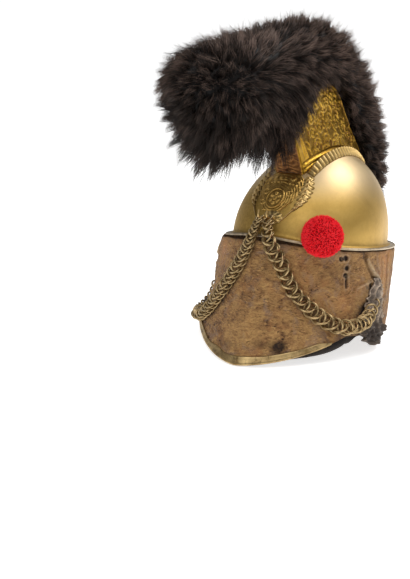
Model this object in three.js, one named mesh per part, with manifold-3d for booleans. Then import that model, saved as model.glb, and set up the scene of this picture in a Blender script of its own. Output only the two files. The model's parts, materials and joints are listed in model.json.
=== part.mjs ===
// Dragoon helmet at real size: a brass bowl with a tall crest, a fur chenille along the crest, a hide
// cover over turban and visor, two ring chin chains hooked up in front, and a woollen pompon.
// Millimetres, +Z up. The wearer faces -Y and the wearer's left is +X. Every piece is worked out in
// the head frame, whose origin is the middle of the bowl's rim, and the whole helmet is then tipped
// back as it stands on a table, on the visor's tip and the back edge of the turban.
import * as THREE from "three";
import { mergeVertices } from "three/addons/utils/BufferGeometryUtils.js";
import Module from "manifold-3d";

const solids = await Module();
solids.setup();

// ---------------------------------------------------------------- driving dimensions

const GAP = 0.3; // clearance between pieces that touch
const DEG = Math.PI / 180;

const STANCE = { pitch: 9.665 * DEG, floorDrop: 111.222 }; // tip back, table below the rim's middle

const BOWL = { halfLength: 112, halfWidth: 89.5, height: 122, wall: 1.2, arch: 9.5, archSpread: 40 * DEG };
const BOWL_PROFILE = {
  front: { rise: 2.0, round: 1.2 },
  back: { rise: 3.2, round: 1.7 },
  side: { rise: 2.2, round: 1.5 },
};
const BOWL_ROWS = [0, 0.15, 0.32, 0.5, 0.67, 0.82, 0.93, 1]; // fractions of the way to the apex
const BOWL_STATIONS = 28;
const LIP = { foot: 3, reach: 9.5, flange: 6.5, bead: 1.6 };

const COVER = { halfLength: 121.5, halfWidth: 98.5, wall: 2.5, top: -2.4, topArch: 0.6 };
const BAND_EDGE = 0.94; // how far down the cover the band's lips start
const COVER_ROWS = [0, 0.3, 0.62, BAND_EDGE, 1];
const FRONT_STEP = 8 * DEG; // between stations round the visor
const BACK_STATIONS = 14; // round the back of the turban
// Swells and hollows of the dried hide: where each is, how far it spreads, how far it stands out.
const COVER_SWELLS = [
  { angle: -72, down: 0.18, wide: 34, tall: 0.3, out: 6 },
  { angle: 80, down: 0.35, wide: 9, tall: 0.3, out: 3 },
  { angle: 60, down: 0.5, wide: 12, tall: 0.22, out: -2.5 },
  { angle: 18, down: 0.45, wide: 16, tall: 0.35, out: -2 },
  { angle: 150, down: 0.5, wide: 18, tall: 0.3, out: 2.5 },
  { angle: -140, down: 0.6, wide: 16, tall: 0.25, out: 2.5 },
];
const COVER_BACK = { inset: 3, hem: -100 };
const VISOR = {
  halfWidth: 116,
  cornerY: -39.6,
  reach: 118.4,
  cornerZ: -70.7,
  fall: -79.2,
  curl: 13.4,
  sideHem: -96.5,
  blend: 1.28,
  flare: 1.7,
  blendFrom: 62 * DEG,
  blendTo: 120 * DEG,
};
const LEATHER = { wall: 2, start: 0.72, from: -72 * DEG, to: 72 * DEG, below: 1.9 };
const LEATHER_LIP = { middle: 60 * DEG, spread: 20 * DEG, out: 9, back: -2 };
const BAND = { thick: 1, from: -64 * DEG, to: 56 * DEG };

// The crest: where each upright section meets the bowl, where it ends under the fur, half its width.
const CREST_ROWS = [
  { baseY: -62, baseZ: 76, topY: -122, topZ: 190, base: 19, top: 16 },
  { baseY: -48, baseZ: 84, topY: -92, topZ: 197, base: 21, top: 16 },
  { baseY: -30, baseZ: 92, topY: -60, topZ: 197, base: 23, top: 16 },
  { baseY: -8, baseZ: 100, topY: -28, topZ: 194, base: 25, top: 16 },
  { baseY: 16, baseZ: 103, topY: 4, topZ: 185, base: 26, top: 16 },
  { baseY: 36, baseZ: 102, topY: 30, topZ: 160, base: 25, top: 15.5 },
  { baseY: 58, baseZ: 94, topY: 56, topZ: 135, base: 22, top: 14.5 },
  { baseY: 78, baseZ: 82, topY: 80, topZ: 116, base: 18, top: 13 },
  { baseY: 92, baseZ: 70, topY: 99, topZ: 98, base: 14, top: 11 },
];
const CREST = { wall: 1.2, mouldingUp: 0.16, mouldingOut: 1.6, foot: 14 };

const GADROON = { seat: 0.45, width: 12, low: 1.4, high: 2.7, stations: 35, from: -57, to: 86, clear: 1.2 };
const PLATE_ROWS = [
  { z: 38, half: 10, rise: 3.2 },
  { z: 44, half: 13, rise: 2.4 },
  { z: 51, half: 19, rise: 3.4 },
  { z: 58, half: 23, rise: 2.6 },
  { z: 65, half: 24, rise: 3.4 },
  { z: 72, half: 22, rise: 2.4 },
  { z: 78, half: 15, rise: 2.8 },
];
const PLATE = { back: 0.5, edge: 1.3, columns: 8 };
const LEAF = { thick: 1.6, rise: 3 };
const LEAF_ROWS = [
  { x: 25.5, y: -97, half: 1.5 },
  { x: 30, y: -90.5, half: 4.5 },
  { x: 33, y: -83, half: 6 },
  { x: 33, y: -75, half: 6 },
  { x: 31, y: -67, half: 4.5 },
  { x: 29, y: -60.5, half: 1.5 },
];
const HOOK = { z: 31, wire: 1.2, out: 17, up: 9, bossWidth: 12, bossHeight: 4.5, boss: 2 };

const POMPON = { radius: 25, phi: 39.5 * DEG, z: 16, lift: 23, tuft: 1.3 };
const PIN = { radius: 1.6, length: 30 };

// The chenille: sections from its front end, over the crest and down behind the bowl. Lean tips a
// section's upright back; the fur reaches up along it, to each side, and down.
const FUR_ROWS = [
  { x: -24, y: -270, z: 163, lean: -20, up: 16, side: 15, down: 20 },
  { x: -24, y: -255, z: 164, lean: -12, up: 42, side: 40, down: 52 },
  { x: -23, y: -231, z: 166, lean: -6, up: 58, side: 58, down: 80 },
  { x: -20, y: -202, z: 172, lean: 0, up: 66, side: 63, down: 94 },
  { x: -14, y: -168, z: 186, lean: 0, up: 60, side: 59, down: 84 },
  { x: -9, y: -140, z: 200, lean: 0, up: 54, side: 54, down: 114 },
  { x: -3, y: -116, z: 208, lean: 0, up: 53, side: 52, down: 84 },
  { x: 0, y: -90, z: 213, lean: 0, up: 54, side: 50, down: 48 },
  { x: 0, y: -55, z: 215, lean: 2, up: 57, side: 50, down: 24 },
  { x: 0, y: -22, z: 210, lean: 8, up: 59, side: 49, down: 17 },
  { x: 0, y: 8, z: 196, lean: 18, up: 61, side: 48, down: 15 },
  { x: 0, y: 36, z: 172, lean: 38, up: 63, side: 47, down: 15 },
  { x: 0, y: 62, z: 148, lean: 50, up: 61, side: 45, down: 15 },
  { x: 0, y: 90, z: 121, lean: 58, up: 56, side: 42, down: 15 },
  { x: 0, y: 108, z: 92, lean: 70, up: 52, side: 38, down: 14 },
  { x: 0, y: 115, z: 62, lean: 80, up: 50, side: 34, down: 12 },
  { x: 0, y: 118, z: 34, lean: 88, up: 44, side: 28, down: 10 },
  { x: 0, y: 126, z: 14, lean: 92, up: 18, side: 14, down: 6 },
];
const FUR = { around: 16, stations: 40, tip: 1, root: 0.84, sweep: 0.012, fullness: 0.85 };

// Chin chains: where the middle of the strand runs, as an angle round from the front, a height, and
// how far it stands off the bowl or the cover there.
const LEFT_ROUTE = [
  { angle: 4.4, z: 30, lift: 12 },
  { angle: 5.8, z: 19, lift: 15.5 },
  { angle: 8, z: 9, lift: 18 },
  { angle: 10.8, z: -3, lift: 8 },
  { angle: 16.8, z: -17, lift: 8 },
  { angle: 21.5, z: -32, lift: 8 },
  { angle: 27, z: -47, lift: 8 },
  { angle: 35, z: -62, lift: 8 },
  { angle: 45, z: -77, lift: 8 },
  { angle: 54, z: -86, lift: 9 },
  { angle: 62, z: -89, lift: 10.5 },
  { angle: 69, z: -85, lift: 11.5 },
  { angle: 74, z: -76, lift: 11.5 },
  { angle: 76, z: -66, lift: 11.5 },
];
const RIGHT_ROUTE = [
  { angle: 4.4, z: 30, lift: 12 },
  { angle: 5, z: 19, lift: 15.5 },
  { angle: 6, z: 9, lift: 18 },
  { angle: 7.5, z: -3, lift: 8 },
  { angle: 9.5, z: -15, lift: 8 },
  { angle: 13.5, z: -31, lift: 8 },
  { angle: 21, z: -52, lift: 8 },
  { angle: 30, z: -72, lift: 8 },
  { angle: 40, z: -88, lift: 9 },
  { angle: 50, z: -98, lift: 9 },
  { angle: 60, z: -98, lift: 10 },
  { angle: 69, z: -89, lift: 11.5 },
  { angle: 74, z: -77, lift: 11.5 },
  { angle: 76, z: -66, lift: 11.5 },
];
const CHAIN = {
  wire: 1.1,
  first: 6.4,
  full: 9.8,
  last: 8,
  lean: 25 * DEG,
  contact: 1.4,
  firstTwist: 15 * DEG,
  pitches: [1.28, 1.18, 1.08, 0.98, 0.88], // ring spacings to try, as shares of the ring's radius
  twists: spread(20, 64 * DEG, 8 * DEG), // twists to try between one ring and the next
};
const RING_SEGMENTS = 10;
const WIRE_SIDES = 5;

// The torn chin-strap leather at each ear: angle from and to, at fractions of the cover's height.
const TAB_ROWS = [
  { down: 0.42, from: 80, to: 85 },
  { down: 0.6, from: 77, to: 89 },
  { down: 0.8, from: 74, to: 95 },
  { down: 0.96, from: 70, to: 99 },
  { down: 1.06, from: 71, to: 98 },
  { down: 1.12, from: 82, to: 92 },
];
const TAB = { thick: 2, columns: 4, clear: 1.1 };
const EAR_LOOP = { angle: 81, z: -62, wire: 1, reach: 8, half: 4.5 };

// ---------------------------------------------------------------- materials

function metal(colour, roughness) {
  return new THREE.MeshStandardMaterial({ color: colour, roughness, metalness: 1 });
}

function soft(colour, roughness) {
  return new THREE.MeshStandardMaterial({ color: colour, roughness, metalness: 0 });
}

const BRASS = metal(0xc9a55a, 0.32);
const DARK_BRASS = metal(0x8f7126, 0.45);
const CHAIN_BRASS = metal(0x8b7440, 0.5);
const HIDE = soft(0x8a6a4a, 0.9);
const BLACK_LEATHER = soft(0x29231f, 0.6);
const RED_WOOL = soft(0xc8141c, 0.95);
const BLACK_FUR = soft(0x1d1614, 0.9);

// ---------------------------------------------------------------- mesh helpers

// Evenly spaced values from one to another, both included.
function spread(count, from, to) {
  return Array.from({ length: count }, (_, i) => from + ((to - from) * i) / (count - 1));
}

// Joins a row of closed sections, each with the same number of points, into one skin. An open row is
// capped at both ends, with each cap's point paired with the one across the section. Crease says
// which four-sided faces are folded along their other diagonal.
function loft(sections, closed, crease = () => false) {
  const count = sections[0].length;
  const rows = sections.length;
  const index = [];
  const spans = closed ? rows : rows - 1;
  for (let i = 0; i < spans; i += 1) {
    const here = i * count;
    const next = ((i + 1) % rows) * count;
    for (let j = 0; j < count; j += 1) {
      const k = (j + 1) % count;
      if (crease(i, j)) {
        index.push(here + j, next + j, here + k, here + k, next + j, next + k);
      } else {
        index.push(here + j, next + j, next + k, here + j, next + k, here + k);
      }
    }
  }
  if (!closed) {
    const end = (rows - 1) * count;
    for (let j = 0; j < count / 2 - 1; j += 1) {
      const far = count - 1 - j;
      index.push(j, j + 1, far - 1, j, far - 1, far);
      index.push(end + j, end + far - 1, end + j + 1, end + j, end + far, end + far - 1);
    }
  }
  const points = sections.flat().flatMap((p) => [p.x, p.y, p.z]);
  const geometry = new THREE.BufferGeometry();
  geometry.setAttribute("position", new THREE.Float32BufferAttribute(points, 3));
  geometry.setIndex(index);
  return outward(weld(geometry));
}

// Shares the corners that lie together and drops faces that have shrunk to a line.
function weld(geometry) {
  const bare = geometry.clone();
  bare.deleteAttribute("normal");
  bare.deleteAttribute("uv");
  const merged = mergeVertices(bare, 1e-4);
  const corners = merged.getIndex().array;
  const kept = [];
  for (let i = 0; i < corners.length; i += 3) {
    const [a, b, c] = [corners[i], corners[i + 1], corners[i + 2]];
    if (a !== b && b !== c && c !== a) {
      kept.push(a, b, c);
    }
  }
  merged.setIndex(kept);
  return merged;
}

function signedVolume(geometry) {
  const position = geometry.getAttribute("position");
  const index = geometry.getIndex().array;
  const corner = [0, 1, 2].map(() => new THREE.Vector3());
  let total = 0;
  for (let i = 0; i < index.length; i += 3) {
    corner.forEach((point, k) => point.fromBufferAttribute(position, index[i + k]));
    total += corner[0].dot(corner[1].clone().cross(corner[2])) / 6;
  }
  return total;
}

// Turns a closed skin so that its faces point out.
function outward(geometry) {
  if (signedVolume(geometry) < 0) {
    const index = Array.from(geometry.getIndex().array);
    geometry.setIndex(index.reverse());
  }
  return geometry;
}

function toSolid(geometry) {
  const skin = weld(geometry);
  return new solids.Manifold(
    new solids.Mesh({
      numProp: 3,
      vertProperties: new Float32Array(skin.getAttribute("position").array),
      triVerts: new Uint32Array(skin.getIndex().array),
    }),
  );
}

function fromSolid(body) {
  const mesh = body.getMesh();
  const geometry = new THREE.BufferGeometry();
  geometry.setAttribute("position", new THREE.BufferAttribute(new Float32Array(mesh.vertProperties), 3));
  geometry.setIndex(Array.from(mesh.triVerts));
  return geometry;
}

// Adds many closed skins into one body.
function fuse(geometries) {
  return geometries.map(toSolid).reduce((whole, piece) => whole.add(piece));
}

// A round bar along a curve, closed at both ends.
function bar(curve, radius, steps, sides) {
  const section = new THREE.Shape();
  for (let i = 0; i < sides; i += 1) {
    const turn = (2 * Math.PI * i) / sides;
    const place = [radius * Math.cos(turn), radius * Math.sin(turn)];
    if (i === 0) {
      section.moveTo(...place);
    } else {
      section.lineTo(...place);
    }
  }
  return outward(weld(new THREE.ExtrudeGeometry(section, { steps, extrudePath: curve, bevelEnabled: false })));
}

function piece(name, geometry, material) {
  const flat = geometry.toNonIndexed();
  flat.computeVertexNormals();
  const mesh = new THREE.Mesh(flat, material.clone());
  mesh.name = name;
  return mesh;
}

// ---------------------------------------------------------------- surfaces of bowl and cover

const smooth = (t) => {
  const s = Math.min(Math.max(t, 0), 1);
  return s * s * (3 - 2 * s);
};

// The rim climbs a little over the brow; angle 0 is the front and +90 degrees the wearer's left.
function rimHeight(angle) {
  const turn = Math.atan2(Math.sin(angle), Math.cos(angle));
  return BOWL.arch * Math.exp(-((turn / BOWL.archSpread) ** 2));
}

// The bowl at an angle and height, or a bowl that is larger all round by grow.
function bowlPoint(angle, z, grow = 0, out = 0) {
  const t = Math.min(Math.max(z, 0) / (BOWL.height + grow), 1);
  const reach = (full, { rise, round }) => (full + grow) * (1 - t ** rise) ** (1 / round) + out;
  const front = reach(BOWL.halfLength, BOWL_PROFILE.front);
  const back = reach(BOWL.halfLength, BOWL_PROFILE.back);
  const side = reach(BOWL.halfWidth, BOWL_PROFILE.side);
  const middle = (back - front) / 2;
  const half = (back + front) / 2;
  return new THREE.Vector3(side * Math.sin(angle), middle - half * Math.cos(angle), z);
}

// The height of the bowl's outside over a point of its plan.
function bowlHeight(x, y) {
  let low = 0;
  let high = BOWL.height;
  for (let i = 0; i < 40; i += 1) {
    const z = (low + high) / 2;
    const front = bowlPoint(0, z).y;
    const back = bowlPoint(Math.PI, z).y;
    const side = bowlPoint(Math.PI / 2, z).x;
    const across = (x / Math.max(side, 1e-6)) ** 2;
    const along = ((y - (front + back) / 2) / Math.max((back - front) / 2, 1e-6)) ** 2;
    if (across + along < 1) {
      low = z;
    } else {
      high = z;
    }
  }
  return low;
}

// A point that stands off the bowl by lift, over a point of its plan.
function onBowl(x, y, lift) {
  const step = 0.5;
  const z = bowlHeight(x, y);
  const slopeX = (bowlHeight(x + step, y) - bowlHeight(x - step, y)) / (2 * step);
  const slopeY = (bowlHeight(x, y + step) - bowlHeight(x, y - step)) / (2 * step);
  const normal = new THREE.Vector3(-slopeX, -slopeY, 1).normalize();
  return new THREE.Vector3(x, y, z).addScaledVector(normal, lift);
}

// Where the table is, in the head frame, at a distance behind the rim's middle.
function tableHeight(y) {
  const { pitch, floorDrop } = STANCE;
  return (-floorDrop + Math.sin(pitch) * y) / Math.cos(pitch);
}

// The lower edge of the cover: the visor's round front, the sides, and the back of the turban.
function coverHem(angle) {
  const turn = Math.atan2(Math.sin(angle), Math.cos(angle));
  const sine = Math.sin(turn);
  const forward = Math.max(Math.cos(turn), 0) ** VISOR.blend;
  const front = new THREE.Vector3(
    VISOR.halfWidth * Math.sign(sine) * Math.abs(sine) ** VISOR.blend,
    VISOR.cornerY - VISOR.reach * forward,
    Math.min(VISOR.cornerZ + VISOR.fall * forward + VISOR.curl * forward ** 2, VISOR.sideHem),
  );
  const backY = -(COVER.halfLength - COVER_BACK.inset) * Math.cos(turn);
  const back = new THREE.Vector3((COVER.halfWidth - 2) * sine, backY, COVER_BACK.hem);
  back.z = Math.max(COVER_BACK.hem, tableHeight(backY));
  return front.lerp(back, smooth((Math.abs(turn) - VISOR.blendFrom) / (VISOR.blendTo - VISOR.blendFrom)));
}

// How far the hide stands out there. It lies flat again before it reaches the visor's edge.
function coverSwell(angle, down) {
  const fade = 1 - smooth((down - 0.6) / 0.3);
  return COVER_SWELLS.reduce((total, swell) => {
    const turn = angle - swell.angle * DEG;
    const round = Math.atan2(Math.sin(turn), Math.cos(turn)) / (swell.wide * DEG);
    const along = (down - swell.down) / swell.tall;
    return total + fade * swell.out * Math.exp(-(round ** 2) - along ** 2);
  }, 0);
}

// The outside of the cover; down runs from 0 at its top edge to 1 at its lower edge.
function coverPoint(angle, down) {
  const top = COVER.top + COVER.topArch * rimHeight(angle);
  const hem = coverHem(angle);
  const flare = down ** VISOR.flare;
  const swell = coverSwell(angle, down);
  return new THREE.Vector3(
    THREE.MathUtils.lerp(COVER.halfWidth * Math.sin(angle), hem.x, flare) + swell * Math.sin(angle),
    THREE.MathUtils.lerp(-COVER.halfLength * Math.cos(angle), hem.y, flare) - swell * Math.cos(angle),
    THREE.MathUtils.lerp(top, hem.z, down),
  );
}

// The cover's outward normal and its downhill direction at a point.
function coverFrame(angle, down) {
  const step = 0.01;
  const low = Math.max(down - step, 0);
  const fall = coverPoint(angle, down + step).sub(coverPoint(angle, low)).normalize();
  const round = coverPoint(angle + step, down).sub(coverPoint(angle - step, down));
  const normal = fall.clone().cross(round).normalize();
  const outwardSide = new THREE.Vector3(Math.sin(angle), -Math.cos(angle), 0);
  return { fall, normal: normal.dot(outwardSide) < 0 ? normal.negate() : normal };
}

function offCover(angle, down, lift, past = 0) {
  const { fall, normal } = coverFrame(angle, down);
  return coverPoint(angle, down).addScaledVector(normal, lift).addScaledVector(fall, past);
}

// The outermost surface at a height: the cover below its top edge, the bowl above it.
function offHelmet(angle, z, lift) {
  const top = COVER.top + COVER.topArch * rimHeight(angle);
  if (z <= top) {
    const down = (top - z) / (top - coverHem(angle).z);
    return offCover(angle, down, lift);
  }
  return bowlPoint(angle, z, 0, lift);
}

// The stations round the cover: close together over the visor, wider apart behind.
function coverAngles() {
  const front = 10 * FRONT_STEP;
  const gap = (2 * Math.PI - 2 * front) / BACK_STATIONS;
  return [...spread(21, -front, front), ...spread(BACK_STATIONS - 1, front + gap, 2 * Math.PI - front - gap)];
}

// The stations of the cover from one angle to another.
function stationsBetween(from, to) {
  return coverAngles().filter((angle) => angle > from - 1e-6 && angle < to + 1e-6);
}

const fullTurn = (count) => spread(count + 1, 0, 2 * Math.PI).slice(0, count);

// ---------------------------------------------------------------- bowl

// The outline of the rolled lip at one angle, from under its flange to the foot of the wall.
function lipOutline(angle, grow) {
  const rim = rimHeight(angle);
  const { reach, flange, bead, foot } = LIP;
  const at = (out, z) => bowlPoint(angle, z, 0, out + grow);
  return [
    at(flange, rim - bead / 4 - grow),
    at(reach - bead, rim - bead - grow),
    at(reach, rim),
    at(reach - bead, rim + bead + grow),
    at(flange, rim + bead / 2 + grow),
    at(0, rim + foot + grow),
  ];
}

function wallRows(angle, grow, from) {
  const foot = rimHeight(angle) + from;
  return BOWL_ROWS.map((share) => bowlPoint(angle, foot + (BOWL.height + grow - foot) * share, grow));
}

function bowlGeometry() {
  const sections = fullTurn(BOWL_STATIONS).map((angle) => {
    const inside = wallRows(angle, -BOWL.wall, -LIP.bead / 4);
    const outside = wallRows(angle, 0, LIP.foot).slice(1);
    return [...lipOutline(angle, 0), ...outside, ...inside.reverse()];
  });
  return loft(sections, true);
}

// The bowl filled in and larger all round, to cut the pieces that sit on it.
function bowlClearance(grow) {
  const sections = fullTurn(BOWL_STATIONS).map((angle) => [
    new THREE.Vector3(0, 0, -LIP.bead - grow),
    ...lipOutline(angle, grow),
    ...wallRows(angle, grow, LIP.foot).slice(1),
  ]);
  return toSolid(loft(sections, true));
}

// ---------------------------------------------------------------- cover, leather and edge band

// The inside of the cover. Behind the visor its lower edge is cut level with the outside's, or flat on
// the table where the cover stands on it.
function coverInside(angle, down) {
  const point = offCover(angle, down, -COVER.wall);
  if (down === 1) {
    const outer = coverPoint(angle, 1);
    const table = tableHeight(outer.y);
    const level = outer.z < table + 0.01 ? tableHeight(point.y) : outer.z;
    const behind = Math.abs(Math.atan2(Math.sin(angle), Math.cos(angle))) - VISOR.blendFrom;
    point.z = THREE.MathUtils.lerp(point.z, level, smooth(behind / (20 * DEG)));
  }
  return point;
}

function coverGeometry() {
  const sections = coverAngles().map((angle) => [
    ...COVER_ROWS.map((down) => coverPoint(angle, down)),
    ...COVER_ROWS.map((down) => coverInside(angle, down)).reverse(),
  ]);
  return loft(sections, true);
}

function coverClearance(grow) {
  const middleTop = new THREE.Vector3(0, 0, COVER.top + grow);
  const middleLow = new THREE.Vector3(0, 0, COVER_BACK.hem);
  const sections = coverAngles().map((angle) => [
    middleTop,
    offCover(angle, 0, grow, -grow),
    ...COVER_ROWS.slice(1).map((down) => offCover(angle, down, grow)),
    middleLow,
  ]);
  return toSolid(loft(sections, true));
}

// How far the visor's own leather stands out past the cover's edge: only by the left corner.
function leatherPast(angle) {
  const bulge = Math.exp(-(((angle - LEATHER_LIP.middle) / LEATHER_LIP.spread) ** 2));
  return LEATHER_LIP.back + (LEATHER_LIP.out - LEATHER_LIP.back) * bulge;
}

function leatherGeometry() {
  const top = -COVER.wall - LEATHER.below;
  const sections = stationsBetween(LEATHER.from, LEATHER.to).map((angle) => {
    const place = (lift) => [
      offCover(angle, LEATHER.start, lift),
      offCover(angle, (1 + LEATHER.start) / 2, lift),
      offCover(angle, 1, lift, leatherPast(angle)),
    ];
    return [...place(top), ...place(top - LEATHER.wall).reverse()];
  });
  return loft(sections, false);
}

function bandGeometry() {
  const under = -COVER.wall - GAP;
  const over = GAP + BAND.thick;
  const sections = stationsBetween(BAND.from, BAND.to).map((angle) => [
    offCover(angle, BAND_EDGE, over),
    offCover(angle, 1, over, over),
    offCover(angle, 1, under - BAND.thick, over),
    offCover(angle, BAND_EDGE, under - BAND.thick),
    offCover(angle, BAND_EDGE, under),
    offCover(angle, 1, under, GAP),
    offCover(angle, 1, GAP, GAP),
    offCover(angle, BAND_EDGE, GAP),
  ]);
  return loft(sections, false);
}

// ---------------------------------------------------------------- crest

// One upright section of the crest. Inset shrinks it all round, for the hollow inside.
function crestSection(row, inset, shift) {
  const low = new THREE.Vector3(0, row.baseY + shift, row.baseZ);
  const high = new THREE.Vector3(0, row.topY + shift, row.topZ);
  const up = high.clone().sub(low).normalize();
  high.addScaledVector(up, -inset);
  low.addScaledVector(up, inset > 0 ? -CREST.foot : 0);
  const at = (share, half) => low.clone().lerp(high, share).setX(half - inset);
  const left = [
    at(0, row.base + CREST.mouldingOut),
    at(CREST.mouldingUp, row.base + CREST.mouldingOut),
    at(CREST.mouldingUp + 0.06, row.base),
    at(0.6, row.top),
    at(1, row.top),
  ];
  const right = left.map((point) => point.clone().setX(-point.x));
  return [...left, ...right.reverse()];
}

function crestBody(inset) {
  const last = CREST_ROWS.length - 1;
  const sections = CREST_ROWS.map((row, i) => {
    const shift = i === 0 ? inset : i === last ? -inset : 0;
    return crestSection(row, inset, shift);
  });
  return toSolid(loft(sections, false));
}

function crestGeometry(bowlCut) {
  return fromSolid(crestBody(0).subtract(crestBody(CREST.wall)).subtract(bowlCut));
}

// The half-width of the crest's foot at a distance along it.
function crestFoot(y) {
  const next = Math.max(1, CREST_ROWS.findIndex((row) => row.baseY >= y));
  const [a, b] = [CREST_ROWS[next - 1], CREST_ROWS[next]];
  return THREE.MathUtils.mapLinear(y, a.baseY, b.baseY, a.base, b.base) + CREST.mouldingOut;
}

// A strip of short ribs on the bowl beside the crest's foot; side is +1 for left, -1 for right.
function gadroonGeometry(side) {
  const { from, to, stations, seat, low, high, width, clear } = GADROON;
  const sections = spread(stations, from, to).map((y, i) => {
    const lift = i % 2 === 0 ? low : high;
    const near = crestFoot(y) + clear;
    const taper = Math.min(1, (to + 6 - y) / 30);
    const far = near + width * taper;
    return [
      onBowl(side * near, y, seat),
      onBowl(side * near, y, lift),
      onBowl(side * far, y, lift),
      onBowl(side * far, y, seat),
    ];
  });
  return loft(sections, false);
}

// ---------------------------------------------------------------- front plate and hook

// A shield of palmette form on the brow: ribs fan out from a raised middle stem.
function plateGeometry() {
  const across = spread(PLATE.columns + 1, -1, 1);
  const sections = PLATE_ROWS.map((row) => {
    const place = (share, lift) => {
      const reach = bowlPoint(Math.PI / 2, row.z).x;
      return bowlPoint(Math.asin((share * row.half) / reach), row.z, 0, lift);
    };
    const outer = across.map((share, i) => place(share, i % 2 === 0 && i > 0 ? row.rise : PLATE.edge));
    const inner = across.map((share) => place(share, PLATE.back));
    return [...outer, ...inner.reverse()];
  });
  return loft(sections, false);
}

// A leaf that lies on the bowl between the plate and the ribbed strip.
function leafGeometry(side) {
  const sections = LEAF_ROWS.map(({ x, y, half }) => [
    onBowl(side * (x - half * 0.8), y - half * 0.6, LEAF.thick),
    onBowl(side * x, y, LEAF.rise),
    onBowl(side * (x + half * 0.8), y + half * 0.6, LEAF.thick),
    onBowl(side * (x + half * 0.8), y + half * 0.6, PLATE.back),
    onBowl(side * x, y, PLATE.back),
    onBowl(side * (x - half * 0.8), y - half * 0.6, PLATE.back),
  ]);
  return loft(sections, false);
}

// ---------------------------------------------------------------- pompon

function pomponCentre() {
  return bowlPoint(POMPON.phi, POMPON.z, 0, POMPON.lift);
}

function pomponAxis() {
  return pomponCentre().sub(bowlPoint(POMPON.phi, POMPON.z)).normalize();
}

function pinGeometry(radius, start, length) {
  const axis = pomponAxis();
  const foot = bowlPoint(POMPON.phi, POMPON.z).addScaledVector(axis, start);
  const pin = new THREE.CylinderGeometry(radius, radius, length, 8);
  pin.applyQuaternion(new THREE.Quaternion().setFromUnitVectors(new THREE.Vector3(0, 1, 0), axis));
  const middle = foot.addScaledVector(axis, length / 2);
  return pin.translate(middle.x, middle.y, middle.z);
}

// A ball of cut wool whose tufts stand out in knots all over it.
function pomponGeometry(bowlCut, coverCut) {
  const ball = weld(new THREE.IcosahedronGeometry(POMPON.radius, 3));
  const position = ball.getAttribute("position");
  const centre = pomponCentre();
  const point = new THREE.Vector3();
  for (let i = 0; i < position.count; i += 1) {
    point.fromBufferAttribute(position, i).normalize();
    const knot = Math.sin(11 * point.x + 2) * Math.sin(12 * point.y) * Math.sin(13 * point.z + 1);
    point.multiplyScalar(POMPON.radius - POMPON.tuft + 2 * POMPON.tuft * knot).add(centre);
    position.setXYZ(i, point.x, point.y, point.z);
  }
  const hole = toSolid(pinGeometry(PIN.radius + GAP, 0, PIN.length + 2 * GAP));
  return fromSolid(toSolid(ball).subtract(bowlCut).subtract(coverCut).subtract(hole));
}

// ---------------------------------------------------------------- chenille

// The fur's surface: along its rows, and round it from straight up towards the wearer's left.
function furPoint(along, turn, share) {
  const last = FUR_ROWS.length - 1;
  const at = Math.min(along * last, last - 1e-6);
  const [a, b] = [FUR_ROWS[Math.floor(at)], FUR_ROWS[Math.floor(at) + 1]];
  const mix = (name) => THREE.MathUtils.lerp(a[name], b[name], at % 1);
  const lean = mix("lean") * DEG;
  const across = Math.sin(turn);
  const rise = share * Math.cos(turn) * (Math.cos(turn) > 0 ? mix("up") : mix("down"));
  return new THREE.Vector3(
    mix("x") + share * mix("side") * Math.sign(across) * Math.abs(across) ** FUR.fullness,
    mix("y") + rise * Math.sin(lean),
    mix("z") + rise * Math.cos(lean),
  );
}

// The roll of fur, shaggy all over: every other point is the tip of a lock, swept along the roll and
// standing out past the four roots round it.
function chenilleGeometry(bowlCut, crestCut) {
  const last = FUR.stations - 1;
  const isTip = (i, j) => (i + j) % 2 === 0;
  const sections = spread(FUR.stations, 0, 1).map((along, i) =>
    fullTurn(FUR.around).map((turn, j) => {
      const tip = isTip(i, j) && i > 0 && i < last;
      return tip ? furPoint(along + FUR.sweep, turn, FUR.tip) : furPoint(along, turn, FUR.root);
    }),
  );
  return fromSolid(toSolid(loft(sections, false, isTip)).subtract(bowlCut).subtract(crestCut));
}

// ---------------------------------------------------------------- chin chains

// Points spaced evenly along the middle of one ring's wire, which runs straight between its corners.
function wirePoints({ middle, across, along, radius }) {
  const corners = fullTurn(RING_SEGMENTS).map((turn) =>
    middle
      .clone()
      .addScaledVector(across, radius * Math.cos(turn))
      .addScaledVector(along, radius * Math.sin(turn)),
  );
  return corners.flatMap((corner, i) =>
    [0, 0.2, 0.4, 0.6, 0.8].map((share) => corner.clone().lerp(corners[(i + 1) % RING_SEGMENTS], share)),
  );
}

function nearest(ringA, ringB) {
  const others = wirePoints(ringB);
  return Math.min(...wirePoints(ringA).map((p) => Math.min(...others.map((q) => p.distanceTo(q)))));
}

// A ring leans forward along the strand and is twisted about it.
function placeRing({ middle, ahead, out, radius }, twist) {
  const side = ahead.clone().cross(out).normalize();
  const along = ahead.clone().multiplyScalar(Math.cos(CHAIN.lean)).addScaledVector(out, Math.sin(CHAIN.lean));
  along.applyAxisAngle(ahead, twist);
  return { middle, along, radius, across: side.applyAxisAngle(ahead, twist) };
}

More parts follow.
